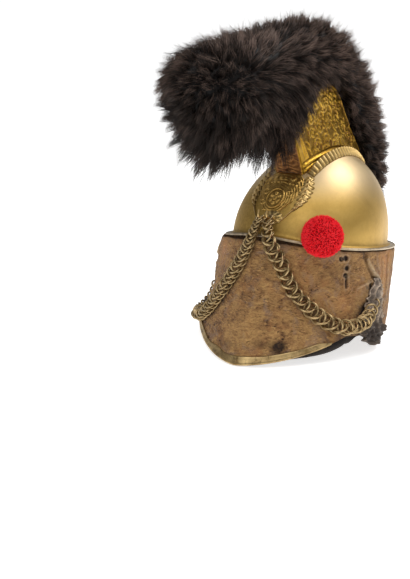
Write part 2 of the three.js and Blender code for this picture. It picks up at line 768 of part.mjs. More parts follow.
// The strand's middle line: where it is, its direction, the way out, and the ring's size there.
function chainLine(route, side) {
  const rows = route.map(({ angle, z, lift }) => ({ angle: side * angle * DEG, z, lift }));
  const seat = new THREE.CatmullRomCurve3(rows.map((row) => offHelmet(row.angle, row.z, 0)));
  const line = new THREE.CatmullRomCurve3(rows.map((row) => offHelmet(row.angle, row.z, row.lift)));
  const length = line.getLength();
  const at = (travelled) => {
    const share = travelled / length;
    const t = line.getUtoTmapping(share);
    const middle = line.getPoint(t);
    const ahead = line.getTangent(t);
    const out = middle.clone().sub(seat.getPoint(t));
    out.addScaledVector(ahead, -out.dot(ahead)).normalize();
    const swell = THREE.MathUtils.lerp(CHAIN.first, CHAIN.full, smooth(share * 4));
    const radius = THREE.MathUtils.lerp(swell, CHAIN.last, smooth((share - 0.85) / 0.15));
    return { middle, ahead, out, radius };
  };
  return { at, length };
}

// Rings along a route. Each is threaded through the one before it: it goes as far along as it can and
// is twisted as far as it can, to one side and then the other, while the two wires still touch.
function chainRings(route, side) {
  const { at, length } = chainLine(route, side);
  const rings = [placeRing(at(0), CHAIN.firstTwist)];
  let travelled = 0;
  while (travelled + rings[rings.length - 1].radius * CHAIN.pitches[0] < length) {
    const before = rings[rings.length - 1];
    const sense = rings.length % 2 === 0 ? 0.5 : -0.5;
    const choices = CHAIN.pitches.flatMap((pitch) => CHAIN.twists.map((twist) => ({ pitch, twist })));
    const place = ({ pitch, twist }) => placeRing(at(travelled + before.radius * pitch), sense * twist);
    const choice = choices.find((option) => nearest(before, place(option)) < CHAIN.contact);
    rings.push(place(choice));
    travelled += before.radius * choice.pitch;
  }
  return rings;
}

function ringGeometry({ middle, across, along, radius }) {
  const ring = new THREE.TorusGeometry(radius, CHAIN.wire, WIRE_SIDES, RING_SEGMENTS);
  const facing = across.clone().cross(along);
  const place = new THREE.Matrix4().makeBasis(across, along, facing).setPosition(middle);
  return ring.applyMatrix4(place);
}

function chainGeometry(rings) {
  return fromSolid(fuse(rings.map(ringGeometry)));
}

// Two prongs on a boss: each passes through the first ring of its strand and turns up.
function hookGeometry(bowlCut, firstRings) {
  const foot = bowlPoint(0, HOOK.z);
  const depth = HOOK.boss + 6;
  const boss = new THREE.CylinderGeometry(HOOK.bossHeight + 1, HOOK.bossHeight, depth, 10);
  boss.scale(HOOK.bossWidth / HOOK.bossHeight, 1, 1);
  boss.translate(foot.x, foot.y - HOOK.boss + depth / 2, HOOK.z);
  const prongs = firstRings.map(({ middle, along, radius }) => {
    const hang = middle.clone().addScaledVector(along, -(radius - CHAIN.wire) * 0.3);
    const at = (out, up) => new THREE.Vector3(hang.x, foot.y - out, hang.z + up);
    const points = [at(-3, 0), at(HOOK.out * 0.8, 0), at(HOOK.out, 2.5), at(HOOK.out, HOOK.up)];
    return bar(new THREE.CatmullRomCurve3(points), HOOK.wire, 6, 6);
  });
  return fromSolid(fuse([boss, ...prongs]).subtract(bowlCut));
}

// ---------------------------------------------------------------- strap remnants and ear loops

function tabGeometry(side) {
  const sections = TAB_ROWS.map(({ down, from, to }) => {
    const angles = spread(TAB.columns + 1, from * DEG, to * DEG).map((angle) => side * angle);
    const outer = angles.map((angle) => offCover(angle, down, TAB.clear + TAB.thick));
    const inner = angles.map((angle) => offCover(angle, down, TAB.clear));
    return [...outer, ...inner.reverse()];
  });
  return loft(sections, false);
}

function earLoopGeometry(side) {
  const place = (z, lift) => offHelmet(side * EAR_LOOP.angle * DEG, EAR_LOOP.z + z, lift);
  const seat = TAB.clear + GAP + TAB.thick;
  const { half, reach } = EAR_LOOP;
  const points = [
    place(half, seat),
    place(half, seat + reach * 0.6),
    place(0, seat + reach),
    place(-half, seat + reach * 0.6),
    place(-half, seat),
  ];
  return bar(new THREE.CatmullRomCurve3(points), EAR_LOOP.wire, 8, 5);
}

// ---------------------------------------------------------------- assembly

function buildHelmet() {
  const head = new THREE.Group();
  const bowlCut = bowlClearance(GAP);
  const coverCut = coverClearance(GAP);
  const leftRings = chainRings(LEFT_ROUTE, 1);
  const rightRings = chainRings(RIGHT_ROUTE, -1);
  head.add(
    piece("bowl", bowlGeometry(), BRASS),
    piece("crest", crestGeometry(bowlCut), DARK_BRASS),
    piece("gadroon_left", gadroonGeometry(1), DARK_BRASS),
    piece("gadroon_right", gadroonGeometry(-1), DARK_BRASS),
    piece("front_plate", plateGeometry(), DARK_BRASS),
    piece("leaf_left", leafGeometry(1), DARK_BRASS),
    piece("leaf_right", leafGeometry(-1), DARK_BRASS),
    piece("chain_hook", hookGeometry(bowlCut, [leftRings[0], rightRings[0]]), DARK_BRASS),
    piece("hide_cover", coverGeometry(), HIDE),
    piece("visor_leather", leatherGeometry(), BLACK_LEATHER),
    piece("visor_band", bandGeometry(), BRASS),
    piece("pompon", pomponGeometry(bowlCut, coverCut), RED_WOOL),
    piece("pompon_pin", weld(pinGeometry(PIN.radius, GAP, PIN.length)), DARK_BRASS),
    piece("chenille", chenilleGeometry(bowlCut, crestBody(-GAP)), BLACK_FUR),
    piece("chin_chain_left", chainGeometry(leftRings), CHAIN_BRASS),
    piece("chin_chain_right", chainGeometry(rightRings), CHAIN_BRASS),
    piece("strap_tab_left", tabGeometry(1), BLACK_LEATHER),
    piece("strap_tab_right", tabGeometry(-1), BLACK_LEATHER),
    piece("ear_loop_left", earLoopGeometry(1), CHAIN_BRASS),
    piece("ear_loop_right", earLoopGeometry(-1), CHAIN_BRASS),
  );
  head.rotation.x = -STANCE.pitch;
  return head;
}

// Stands the helmet on the table, with the middle of its box over the origin.
function stand(head) {
  const helmet = new THREE.Group();
  helmet.add(head);
  const box = new THREE.Box3().setFromObject(helmet, true);
  const middle = box.getCenter(new THREE.Vector3());
  head.position.set(-middle.x, -middle.y, -box.min.z);
  return helmet;
}

export default stand(buildHelmet());
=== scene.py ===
"""Looks of a dragoon helmet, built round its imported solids.

Every surface is worked out in the head frame, in millimetres: x to the wearer's left, y to the back,
z up, with the middle of the bowl's rim as origin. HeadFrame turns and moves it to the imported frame.
"""

from __future__ import annotations

import json
import logging
import math
from dataclasses import dataclass, field
from enum import Enum

import bmesh
import bpy
import mathutils
import numpy as np
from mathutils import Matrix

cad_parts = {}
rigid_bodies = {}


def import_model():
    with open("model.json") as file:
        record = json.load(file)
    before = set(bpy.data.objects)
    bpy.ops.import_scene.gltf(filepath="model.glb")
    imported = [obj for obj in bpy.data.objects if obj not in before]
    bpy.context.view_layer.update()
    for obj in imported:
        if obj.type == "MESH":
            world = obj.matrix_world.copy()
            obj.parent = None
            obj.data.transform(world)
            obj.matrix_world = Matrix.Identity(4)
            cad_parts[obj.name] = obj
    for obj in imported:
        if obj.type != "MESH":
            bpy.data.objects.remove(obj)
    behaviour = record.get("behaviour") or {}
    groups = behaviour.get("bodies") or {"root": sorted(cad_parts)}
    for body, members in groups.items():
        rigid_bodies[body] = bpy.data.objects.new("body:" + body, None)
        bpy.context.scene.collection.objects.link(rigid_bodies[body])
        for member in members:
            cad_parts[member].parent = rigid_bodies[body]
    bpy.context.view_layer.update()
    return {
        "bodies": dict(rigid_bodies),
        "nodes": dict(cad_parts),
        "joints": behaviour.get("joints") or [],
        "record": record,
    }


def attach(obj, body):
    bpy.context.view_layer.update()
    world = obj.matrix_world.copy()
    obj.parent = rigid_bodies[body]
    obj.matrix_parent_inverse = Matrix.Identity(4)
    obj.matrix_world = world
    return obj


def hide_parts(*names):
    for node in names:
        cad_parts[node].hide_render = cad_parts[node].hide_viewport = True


LOG = logging.getLogger("dragoon_helmet")
Array = np.ndarray
Piece = bpy.types.Object
Material = bpy.types.Material
Socket = bpy.types.NodeSocket
Triple = tuple[float, float, float]
Rows = tuple[tuple[float, ...], ...]
Colour = Triple
TURN = 2 * math.pi
PER_RADIAN = 110.0  # millimetres of hide to a radian round it
MERGE_DISTANCE = 1e-6  # in metres
HALVINGS = 30  # of a search between two heights
MIXERS = (374761393, 668265263, 2147483647, 1274126177)  # large odd factors that scatter a cell's number


class Side(Enum):
    """The wearer's side that a piece is on."""

    LEFT = 1
    RIGHT = -1

    @property
    def word(self) -> str:
        """The side's name in small letters."""
        return self.name.lower()


# ---------------------------------------------------------------- numbers and noise


def smooth_step(t: Array) -> Array:
    """Cubic ease from 0 to 1: 3t^2 - 2t^3, held at its ends."""
    s = np.clip(t, 0.0, 1.0)
    return s * s * (3 - 2 * s)


def bump_shape(t: Array) -> Array:
    """A round-topped bump: the square root of 1 - t^2 inside -1..1, and 0 outside."""
    return np.sqrt(np.clip(1 - t * t, 0.0, 1.0))


def unit(vectors: Array) -> Array:
    """Vectors scaled to length 1."""
    return vectors / np.maximum(np.linalg.norm(vectors, axis=-1, keepdims=True), 1e-9)


def wrap(angle: Array) -> Array:
    """An angle brought to -pi..pi."""
    return np.arctan2(np.sin(angle), np.cos(angle))


def together(*values: Array | float) -> list[Array]:
    """Numbers and arrays brought to one shape."""
    return np.broadcast_arrays(*(np.asarray(v, float) for v in values))


def circle(count: int) -> Array:
    """So many even angles, once round."""
    return np.linspace(0, TURN, count, endpoint=False)


def bell(t: Array, power: int = 2) -> Array:
    """A bell curve: e to the power of minus t^2, or flatter on top for a higher even power."""
    return np.exp(-(t**power))


def lattice_value(cell: Array, seed: int) -> Array:
    """A repeatable number in 0..1 for each whole-numbered cell.

    Args:
        cell: whole numbers, one triple a row.
        seed: picks one of many fields.

    Returns:
        The hashed value of each cell.
    """
    mixed = sum(cell[..., k] * MIXERS[k] for k in range(3)) + seed * MIXERS[3]
    mixed = (mixed ^ (mixed >> 13)) * MIXERS[3]
    mixed = mixed ^ (mixed >> 16)
    return (mixed & 0xFFFFFF) / float(0xFFFFFF)


def noise(points: Array, size: float, seed: int = 0) -> Array:
    """Smooth value noise in -1..1: hashed lattice values blended by the cubic ease.

    Args:
        points: places, in millimetres.
        size: the width of one lattice cell.
        seed: picks one of many fields.

    Returns:
        One value for each place.
    """
    scaled = np.asarray(points, float) / size + 1000.0
    cell = np.floor(scaled).astype(np.int64)
    part = smooth_step(scaled - cell)
    total = np.zeros(scaled.shape[:-1])
    for corner in range(8):
        step = np.array([corner & 1, (corner >> 1) & 1, (corner >> 2) & 1])
        weight = np.prod(np.where(step == 1, part, 1 - part), axis=-1)
        total += weight * lattice_value(cell + step, seed)
    return total * 2 - 1


def rough(points: Array, size: float, octaves: int = 4, seed: int = 0) -> Array:
    """Noise summed over octaves, each half the size and half the height of the one before."""
    return sum(noise(points, size / 2**k, seed + k) / 2**k for k in range(octaves))


def line_noise(values: Array, size: float, seed: int, beside: float = 0.0, over: float = 0.0) -> Array:
    """Noise that changes along one line only, which may run beside or over the first one."""
    return noise(np.stack([values, 0 * values + beside, 0 * values + over], axis=-1), size, seed)


def through_points(points: Array, steps: int) -> Array:
    """A smooth curve through points: uniform Catmull-Rom cubics, resampled to equal lengths."""
    t = np.linspace(0, len(points) - 1 - 1e-9, 80 * len(points))
    return resample(catmull(points, t), steps)


def catmull(points: Array, t: Array) -> Array:
    """Catmull-Rom cubics through points.

    Args:
        points: the points, one a row.
        t: parameters, a whole number at each point.

    Returns:
        The places at t.
    """
    padded = np.vstack([2 * points[0] - points[1], points, 2 * points[-1] - points[-2]])
    i = np.floor(t).astype(int)
    f = (t - i)[..., None]
    a, b, c, d = (padded[i + k] for k in range(4))
    return 0.5 * (2 * b + (c - a) * f + (2 * a - 5 * b + 4 * c - d) * f**2 + (3 * b - a - 3 * c + d) * f**3)


def between_rows(rows: Rows, share: Array) -> Array:
    """Rows of numbers read at shares of the way from the first to the last, by Catmull-Rom cubics."""
    table = np.array(rows, float)
    return catmull(table, np.clip(share, 0, 1) * (len(table) - 1) * (1 - 1e-9))


def resample(path: Array, steps: int) -> Array:
    """A polyline brought to equally spaced points.

    Args:
        path: its points, one a row.
        steps: how many points to return.

    Returns:
        The new points.
    """
    reach = np.concatenate([[0], np.cumsum(np.linalg.norm(np.diff(path, axis=0), axis=1))])
    wanted = np.linspace(0, reach[-1], steps)
    return np.stack([np.interp(wanted, reach, path[:, k]) for k in range(path.shape[1])], axis=1)


def distance_to_path(x: Array, y: Array, path: Array) -> tuple[Array, Array, Array]:
    """Distance from plane points to a polyline, and how far along it the nearest place is.

    Args:
        x: first coordinates.
        y: second coordinates.
        path: the polyline's points, one a row.

    Returns:
        The distances, the shares of the way along, and +1 left of the line or -1 right of it.
    """
    best = np.full(x.shape, 1e9)
    along = np.zeros(x.shape)
    side = np.ones(x.shape)
    for i in range(len(path) - 1):
        a, b = path[i], path[i + 1]
        d = b - a
        t = np.clip(((x - a[0]) * d[0] + (y - a[1]) * d[1]) / max(float(d @ d), 1e-9), 0, 1)
        gap = np.hypot(x - a[0] - t * d[0], y - a[1] - t * d[1])
        nearer = gap < best
        best = np.where(nearer, gap, best)
        along = np.where(nearer, (i + t) / (len(path) - 1), along)
        side = np.where(nearer, np.sign(d[0] * (y - a[1]) - d[1] * (x - a[0])), side)
    return best, along, side


# ---------------------------------------------------------------- head frame


@dataclass(frozen=True)
class HeadFrame:
    """The helmet's own frame, tipped back and set down on the table."""

    origin: Triple
    pitch: float = math.radians(9.665)
    rest_y: float = 117.25
    rest_z: float = -92.8552

    @classmethod
    def from_record(cls, record: dict) -> HeadFrame:
        """The head frame that puts the turban's back edge on the record's mount.

        Args:
            record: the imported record, whose mount "rest" is on that edge.

        Returns:
            The frame.
        """
        place = next(m["pos_m"] for m in record["mounts"] if m["name"] == "rest")
        turned = cls((0.0, 0.0, 0.0)).turn(np.array([0.0, cls.rest_y, cls.rest_z]))
        return cls(tuple(np.array(place) * 1000 - turned))

    def turn(self, points: Array) -> Array:
        """Points tipped back about the x axis by the pitch.

        Args:
            points: places in the head frame.

        Returns:
            The tipped places, still about the head frame's origin.
        """
        c, s = math.cos(self.pitch), math.sin(self.pitch)
        x, y, z = np.moveaxis(np.asarray(points, float), -1, 0)
        return np.stack([x, y * c + z * s, -y * s + z * c], axis=-1)

    def to_row(self, points: Array) -> Array:
        """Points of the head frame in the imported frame, in metres."""
        return (self.turn(points) + np.array(self.origin)) / 1000.0

    def from_row(self, points: Array) -> Array:
        """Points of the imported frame, in metres, back in the head frame.

        Args:
            points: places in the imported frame.

        Returns:
            The same places, in millimetres.
        """
        c, s = math.cos(self.pitch), math.sin(self.pitch)
        x, y, z = np.moveaxis(points * 1000 - np.array(self.origin), -1, 0)
        return np.stack([x, y * c - z * s, y * s + z * c], axis=-1)

    def table(self, y: Array) -> Array:
        """The height of the table in the head frame, at a distance behind the origin."""
        return (-self.origin[2] + math.sin(self.pitch) * y) / math.cos(self.pitch)


# ---------------------------------------------------------------- meshes


@dataclass
class Skin:
    """Corners, faces and per-corner numbers gathered before they become one mesh."""

    corners: list[Array] = field(default_factory=list)
    faces: list[Array] = field(default_factory=list)
    marks: dict[str, list[Array]] = field(default_factory=dict)
    count: int = 0

    def add(self, corners: Array, faces: Array, **marks: Array | float) -> None:
        """Adds one patch, with a number for each corner under each mark's name.

        Args:
            corners: places, in an array whose last axis is x, y, z.
            faces: rows of corner numbers.
            marks: numbers that broadcast to the corners.
        """
        for name, values in marks.items():
            self.marks.setdefault(name, []).append(np.broadcast_to(values, corners.shape[:-1]).ravel())
        self.corners.append(corners.reshape(-1, 3))
        self.faces.append(faces + self.count)
        self.count += len(self.corners[-1])

    def sweep(self, sections: Array, end_mark: float | None = None, **marks: Array | float) -> None:
        """Adds a run of ring sections and closes both its ends, each drawn in to its own middle.

        Args:
            sections: points shaped (stations, ring, 3).
            end_mark: the ends' own number; without it they carry on their rings' numbers.
            marks: numbers that broadcast to the points.
        """
        stations, ring = sections.shape[:2]
        self.add(sections, grid_faces(stations, ring, close_columns=True), **marks)
        faces = grid_faces(2, ring, close_columns=True)
        for end, lid_faces in ((0, faces[:, ::-1]), (-1, faces)):
            lid = np.stack([sections[end], sections[end].mean(0) + 0 * sections[end]])
            rims = {name: np.broadcast_to(values, (stations, ring))[end] for name, values in marks.items()}
            if end_mark is not None:
                rims = dict.fromkeys(marks, end_mark)
            self.add(lid, lid_faces, **rims)

    def add_hairs(self, paths: Array, widths: Array, tones: Array, middle: float) -> None:
        """Adds tapering hairs of three points, marked with their tone and the way to their tip.

        Args:
            paths: middle lines, shaped (hairs, 3, 3).
            widths: half-widths, shaped (hairs, 3).
            tones: one number a hair.
            middle: the mark of the middle point, between 0 at the root and 1 at the tip.
        """
        corners, faces = strands(paths, widths)
        tips = np.repeat([0, middle, 1.0], [3, 3, 1])
        self.add(corners, faces, Tone=np.repeat(tones, len(tips)), Tip=np.tile(tips, len(tones)))

    def build(self, name: str, head: HeadFrame, merge: bool = True) -> Piece:
        """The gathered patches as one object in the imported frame, with its faces turned outward.

        Args:
            name: the object's name.
            head: the frame that the corners are in.
            merge: whether corners that lie together become one.

        Returns:
            The new object, at the origin.
        """
        corners, faces = np.vstack(self.corners), np.vstack(self.faces)
        if enclosed(corners, faces) < 0:
            faces = faces[:, ::-1]
        mesh = bpy.data.meshes.new(name)
        mesh.vertices.add(len(corners))
        mesh.vertices.foreach_set("co", head.to_row(corners).astype(np.float32).ravel())
        mesh.loops.add(faces.size)
        mesh.loops.foreach_set("vertex_index", faces.astype(np.int32).ravel())
        mesh.polygons.add(len(faces))
        mesh.polygons.foreach_set("loop_start", np.arange(0, faces.size, faces.shape[1], dtype=np.int32))
        mesh.update(calc_edges=True)
        for mark, values in self.marks.items():
            layer = mesh.attributes.new(mark, "FLOAT", "POINT")
            layer.data.foreach_set("value", np.concatenate(values).astype(np.float32))
        if merge:
            merge_close(mesh)
        mesh.polygons.foreach_set("use_smooth", np.ones(len(mesh.polygons), bool))
        obj = bpy.data.objects.new(name, mesh)
        bpy.context.scene.collection.objects.link(obj)
        return obj

    def dressed(
        self, name: str, head: HeadFrame, material: Material, node: str, slot: str, merge: bool = True
    ) -> Piece:
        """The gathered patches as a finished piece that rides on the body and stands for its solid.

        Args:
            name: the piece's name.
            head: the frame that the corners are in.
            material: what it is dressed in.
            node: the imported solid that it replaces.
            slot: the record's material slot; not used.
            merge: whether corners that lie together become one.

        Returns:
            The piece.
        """
        piece = self.build(name, head, merge)
        piece.data.materials.append(material)
        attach(piece, "root")
        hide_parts(node)
        return piece


def merge_close(mesh: bpy.types.Mesh) -> None:
    """Makes one corner of those that lie together, which also closes seams and poles.

    Args:
        mesh: the mesh to change.
    """
    work = bmesh.new()
    work.from_mesh(mesh)
    bmesh.ops.remove_doubles(work, verts=work.verts, dist=MERGE_DISTANCE)
    work.to_mesh(mesh)
    work.free()


def face_values(mesh: bpy.types.Mesh, name: str) -> Array:
    """One vector for each face of a mesh.

    Args:
        mesh: the mesh.
        name: "center" or "normal".

    Returns:
        The vectors, one a row.
    """
    values = np.empty(len(mesh.polygons) * 3, np.float32)
    mesh.polygons.foreach_get(name, values)
    return values.reshape(-1, 3)


def second_finish(mesh: bpy.types.Mesh, material: Material, chosen: Array) -> None:
    """Gives the chosen faces of a mesh a second finish."""
    mesh.materials.append(material)
    mesh.polygons.foreach_set("material_index", chosen.astype(np.int32))


def enclosed(corners: Array, faces: Array) -> float:
    """The signed volume inside faces: the sum of a.(b x c)/6 over their triangles.

    Args:
        corners: places, one a row.
        faces: rows of corner numbers.

    Returns:
        The volume, positive where the faces look outward.
    """
    a = corners[faces[:, 0]]
    total = 0.0
    for k in range(1, faces.shape[1] - 1):
        b, c = corners[faces[:, k]], corners[faces[:, k + 1]]
        total += float((a * np.cross(b, c)).sum())
    return total / 6


def grid_faces(rows: int, columns: int, close_rows: bool = False, close_columns: bool = False) -> Array:
    """Four-sided faces of a grid of points.

    Args:
        rows: how many rows of points.
        columns: how many points a row.
        close_rows: whether the last row joins the first.
        close_columns: whether the last column joins the first.

    Returns:
        One row of four corner numbers a face.
    """
    i = np.arange(rows if close_rows else rows - 1)[:, None]
    j = np.arange(columns if close_columns else columns - 1)[None, :]
    i2, j2 = (i + 1) % rows, (j + 1) % columns
    corners = [i * columns + j, i2 * columns + j, i2 * columns + j2, i * columns + j2]
    return np.stack([np.broadcast_to(c, (len(i), j.shape[1])) for c in corners], axis=-1).reshape(-1, 4)


def backed(face: Array, back: Array, marks: Array, behind: float) -> tuple[Array, Array]:
    """A face and its back joined into ring sections, with one plain mark on the back."""
    marks = np.broadcast_to(marks, face.shape[:2])
    return np.concatenate([face, back], 1), np.concatenate([marks, np.full(back.shape[:2], behind)], 1)


def tube(path: Array, radius: Array, sides: int, closed: bool = False) -> tuple[Array, Array]:
    """A round bar along a path: circles whose frame is carried along without turning.

    Args:
        path: the middle line's points.
        radius: one radius, or one for each point.
        sides: points round the bar.
        closed: whether the path is a ring.

    Returns:
        Corners and faces; open ends are drawn together to a point.
    """
    ahead = np.roll(path, -1, 0) - np.roll(path, 1, 0) if closed else np.gradient(path, axis=0)
    ahead = unit(ahead)
    across = np.zeros_like(path)
    start = np.cross(ahead[0], [0.31, 0.17, 0.93])
    for i, way in enumerate(ahead):
        start = start - way * (start @ way)
        start = start / max(float(np.linalg.norm(start)), 1e-9)
        across[i] = start
    other = np.cross(ahead, across)
    turn = circle(sides)
    size = np.broadcast_to(np.asarray(radius, float), (len(path),)).copy()
    if not closed:
        path = np.vstack([path[:1], path, path[-1:]])
        across, other = (np.vstack([v[:1], v, v[-1:]]) for v in (across, other))
        size = np.concatenate([[0], size, [0]])
    ring = across[:, None] * np.cos(turn)[None, :, None] + other[:, None] * np.sin(turn)[None, :, None]
    corners = path[:, None] + ring * size[:, None, None]
    return corners.reshape(-1, 3), grid_faces(len(path), sides, close_rows=closed, close_columns=True)


def strands(paths: Array, widths: Array, sides: int = 3) -> tuple[Array, Array]:
    """Many tapering hairs at once: a small ring at each point of a path, drawn to a point at its end.

    Args:
        paths: middle lines, shaped (hairs, points, 3).
        widths: half-widths, shaped (hairs, points); the last is taken as 0.
        sides: corners of each ring.

    Returns:
        Corners and three-sided faces, all pointing out.
    """
    hairs, points = paths.shape[:2]
    ahead = unit(np.gradient(paths, axis=1))
    across = unit(np.cross(ahead, unit(np.array([0.37, 0.61, -0.70]))))
    other = np.cross(ahead, across)
    turn = circle(sides)
    ring = across[:, :, None] * np.cos(turn)[:, None] + other[:, :, None] * np.sin(turn)[:, None]
    body = paths[:, :-1, None] + ring[:, :-1] * widths[:, :-1, None, None]
    corners = np.concatenate([body.reshape(hairs, -1, 3), paths[:, -1:]], axis=1)
    each = corners.shape[1]
    faces = []
    for i in range(points - 2):
        for j in range(sides):
            a, b = i * sides + j, i * sides + (j + 1) % sides
            faces += [[a, b, b + sides], [a, b + sides, a + sides]]
    last = (points - 2) * sides
    faces += [[last + j, last + (j + 1) % sides, each - 1] for j in range(sides)]
    faces += [[0, 2, 1]] if sides == 3 else []
    every = np.array(faces)[None] + (np.arange(hairs) * each)[:, None, None]
    return corners.reshape(-1, 3), every.reshape(-1, 3)


# ---------------------------------------------------------------- materials


class Sketch:
    """A material's node tree, with short ways to add the nodes used here."""

    def __init__(self, name: str) -> None:
        """Starts an empty material with a Principled shader.

        Args:
            name: the material's name.
        """
        self.material = bpy.data.materials.new(name)
        self.material.use_nodes = True
        self.tree = self.material.node_tree
        self.tree.nodes.clear()
        output = self.tree.nodes.new("ShaderNodeOutputMaterial")
        self.shader = self.tree.nodes.new("ShaderNodeBsdfPrincipled")
        self.tree.links.new(self.shader.outputs["BSDF"], output.inputs["Surface"])
        self.place = self.tree.nodes.new("ShaderNodeTexCoord")

    def feed(self, source: Socket | float | Colour, target: Socket) -> None:
        """Joins a socket to an input, or gives the input a plain number or colour.

        Args:
            source: the socket, number or colour.
            target: the input.
        """
        if isinstance(source, Socket):
            self.tree.links.new(source, target)
        else:
            target.default_value = (*source, 1) if isinstance(source, tuple) else source

    def add(self, kind: str, output: str, settings: dict[str, str] | None = None, **inputs: object) -> Socket:
        """Adds a node, sets it up and feeds it.

        Args:
            kind: the node's type, without the words that all shader nodes start with.
            output: the name of the output that is wanted.
            settings: the node's own settings.
            inputs: sockets, numbers or colours, with underscores for spaces in the inputs' names.

        Returns:
            The output's socket.
        """
        node = self.tree.nodes.new(f"ShaderNode{kind}")
        for name, value in (settings or {}).items():
            setattr(node, name, value)
        for name, value in inputs.items():
            self.feed(value, node.inputs[name.replace("_", " ")])
        return node.outputs[output]

    def constant(self, **values: object) -> None:
        """Sets the shader's own sockets, with underscores for spaces in their names."""
        for name, value in values.items():
            self.shader.inputs[name.replace("_", " ")].default_value = value

    def coordinates(self, stretch: Triple = (1, 1, 1), turn: Triple = (0, 0, 0)) -> Socket:
        """Object coordinates, turned and then stretched.

        Args:
            stretch: how many times finer the pattern is along each axis.
            turn: the turn about each axis, in degrees.

        Returns:
            The vector socket.
        """
        mapping = self.tree.nodes.new("ShaderNodeMapping")
        mapping.inputs["Scale"].default_value = stretch
        mapping.inputs["Rotation"].default_value = [math.radians(v) for v in turn]
        self.feed(self.place.outputs["Object"], mapping.inputs["Vector"])
        return mapping.outputs["Vector"]

    def noise(
        self, grain_mm: float, detail: float = 4, roughness: float = 0.55, warp: float = 0, **where: Triple
    ) -> Socket:
        """Noise whose grains are about so many millimetres; where is what coordinates() takes."""
        grain = {"Scale": 1000 / grain_mm, "Detail": detail, "Roughness": roughness, "Distortion": warp}
        return self.add("TexNoise", "Fac", Vector=self.coordinates(**where), **grain)

    def cracks(self, cell_mm: float) -> Socket:
        """The distance to the nearest edge between Voronoi cells of about so many millimetres."""
        place = {"Scale": 1000 / cell_mm, "Vector": self.coordinates()}
        return self.add("TexVoronoi", "Distance", {"feature": "DISTANCE_TO_EDGE"}, **place)

    def mark(self, name: str) -> Socket:
        """A number stored on the mesh's corners."""
        return self.add("Attribute", "Fac", {"attribute_name": name})

    def span(self, value: Socket, low: float, high: float, to_low: float = 0, to_high: float = 1) -> Socket:
        """A value carried from the range low..high to the range to_low..to_high, held at its ends."""
        ranges = {"From_Min": low, "From_Max": high, "To_Min": to_low, "To_Max": to_high}
        return self.add("MapRange", "Result", Value=value, **ranges)

    def sum(self, a: Socket, b: Socket | float, kind: str = "ADD") -> Socket:
        """Two values added, or joined by another of Blender's operations.

        Args:
            a: the first value.
            b: the second value.
            kind: the operation's name.

        Returns:
            The value socket.
        """
        node = self.tree.nodes.new("ShaderNodeMath")
        node.operation = kind
        self.feed(a, node.inputs[0])
        self.feed(b, node.inputs[1])
        return node.outputs[0]

    def ramp(self, value: Socket, stops: list[tuple[float, Colour]]) -> Socket:
        """Colours along a value.

        Args:
            value: the value.
            stops: places and linear colours, in order.

        Returns:
            The colour socket.
        """
        node = self.tree.nodes.new("ShaderNodeValToRGB")
        elements = node.color_ramp.elements
        elements.remove(elements[1])
        elements[0].position, elements[0].color = stops[0][0], (*stops[0][1], 1)
        for position, colour in stops[1:]:
            elements.new(position).color = (*colour, 1)
        self.feed(value, node.inputs["Fac"])
        return node.outputs["Color"]

    def blend(self, share: Socket, a: Socket, b: Socket | Colour) -> Socket:
        """Colour a turning into colour b as share goes from 0 to 1."""
        return self.add("Mix", "Result", {"data_type": "RGBA"}, Factor=share, A=a, B=b)

    def tinted(
        self, colour: Socket, tint: Colour, grain: tuple[float, ...], rise: Triple, **where: Triple
    ) -> Socket:
        """A colour that takes a tint as noise goes up from rise[0] to rise[1], at most by rise[2]."""
        low, high, most = rise
        return self.blend(self.span(self.noise(*grain, **where), low, high, 0, most), colour, tint)

    def broken(self, name: str, grain: tuple[float, ...], spread: tuple[float, ...]) -> Socket:
        """A stored number times noise that spread carries to a new range, so that its edges are broken up."""
        return self.sum(self.mark(name), self.span(self.noise(*grain), *spread), "MULTIPLY")

    def relief(self, height: Socket, depth_mm: float, strength: float = 1.0) -> None:
        """Adds a bump to the shader's normal, on top of the ones before.

        Args:
            height: the bump's height, from 0 to 1.
            depth_mm: how deep it is.
            strength: how much of it shows.
        """
        before = self.shader.inputs["Normal"].links
        inputs = {"Strength": strength, "Distance": depth_mm / 1000, "Height": height}
        if before:
            inputs["Normal"] = before[0].from_socket
        self.feed(self.add("Bump", "Normal", **inputs), self.shader.inputs["Normal"])

    def colour(self, socket: Socket) -> None:
        """Uses a colour for the surface."""
        self.feed(socket, self.shader.inputs["Base Color"])

    def roughness(self, socket: Socket) -> None:
        """Uses a value for the surface's roughness."""
        self.feed(socket, self.shader.inputs["Roughness"])


def shade(colour: Colour, times: float) -> Colour:
    """A colour made so many times lighter."""
    return tuple(times * part for part in colour)


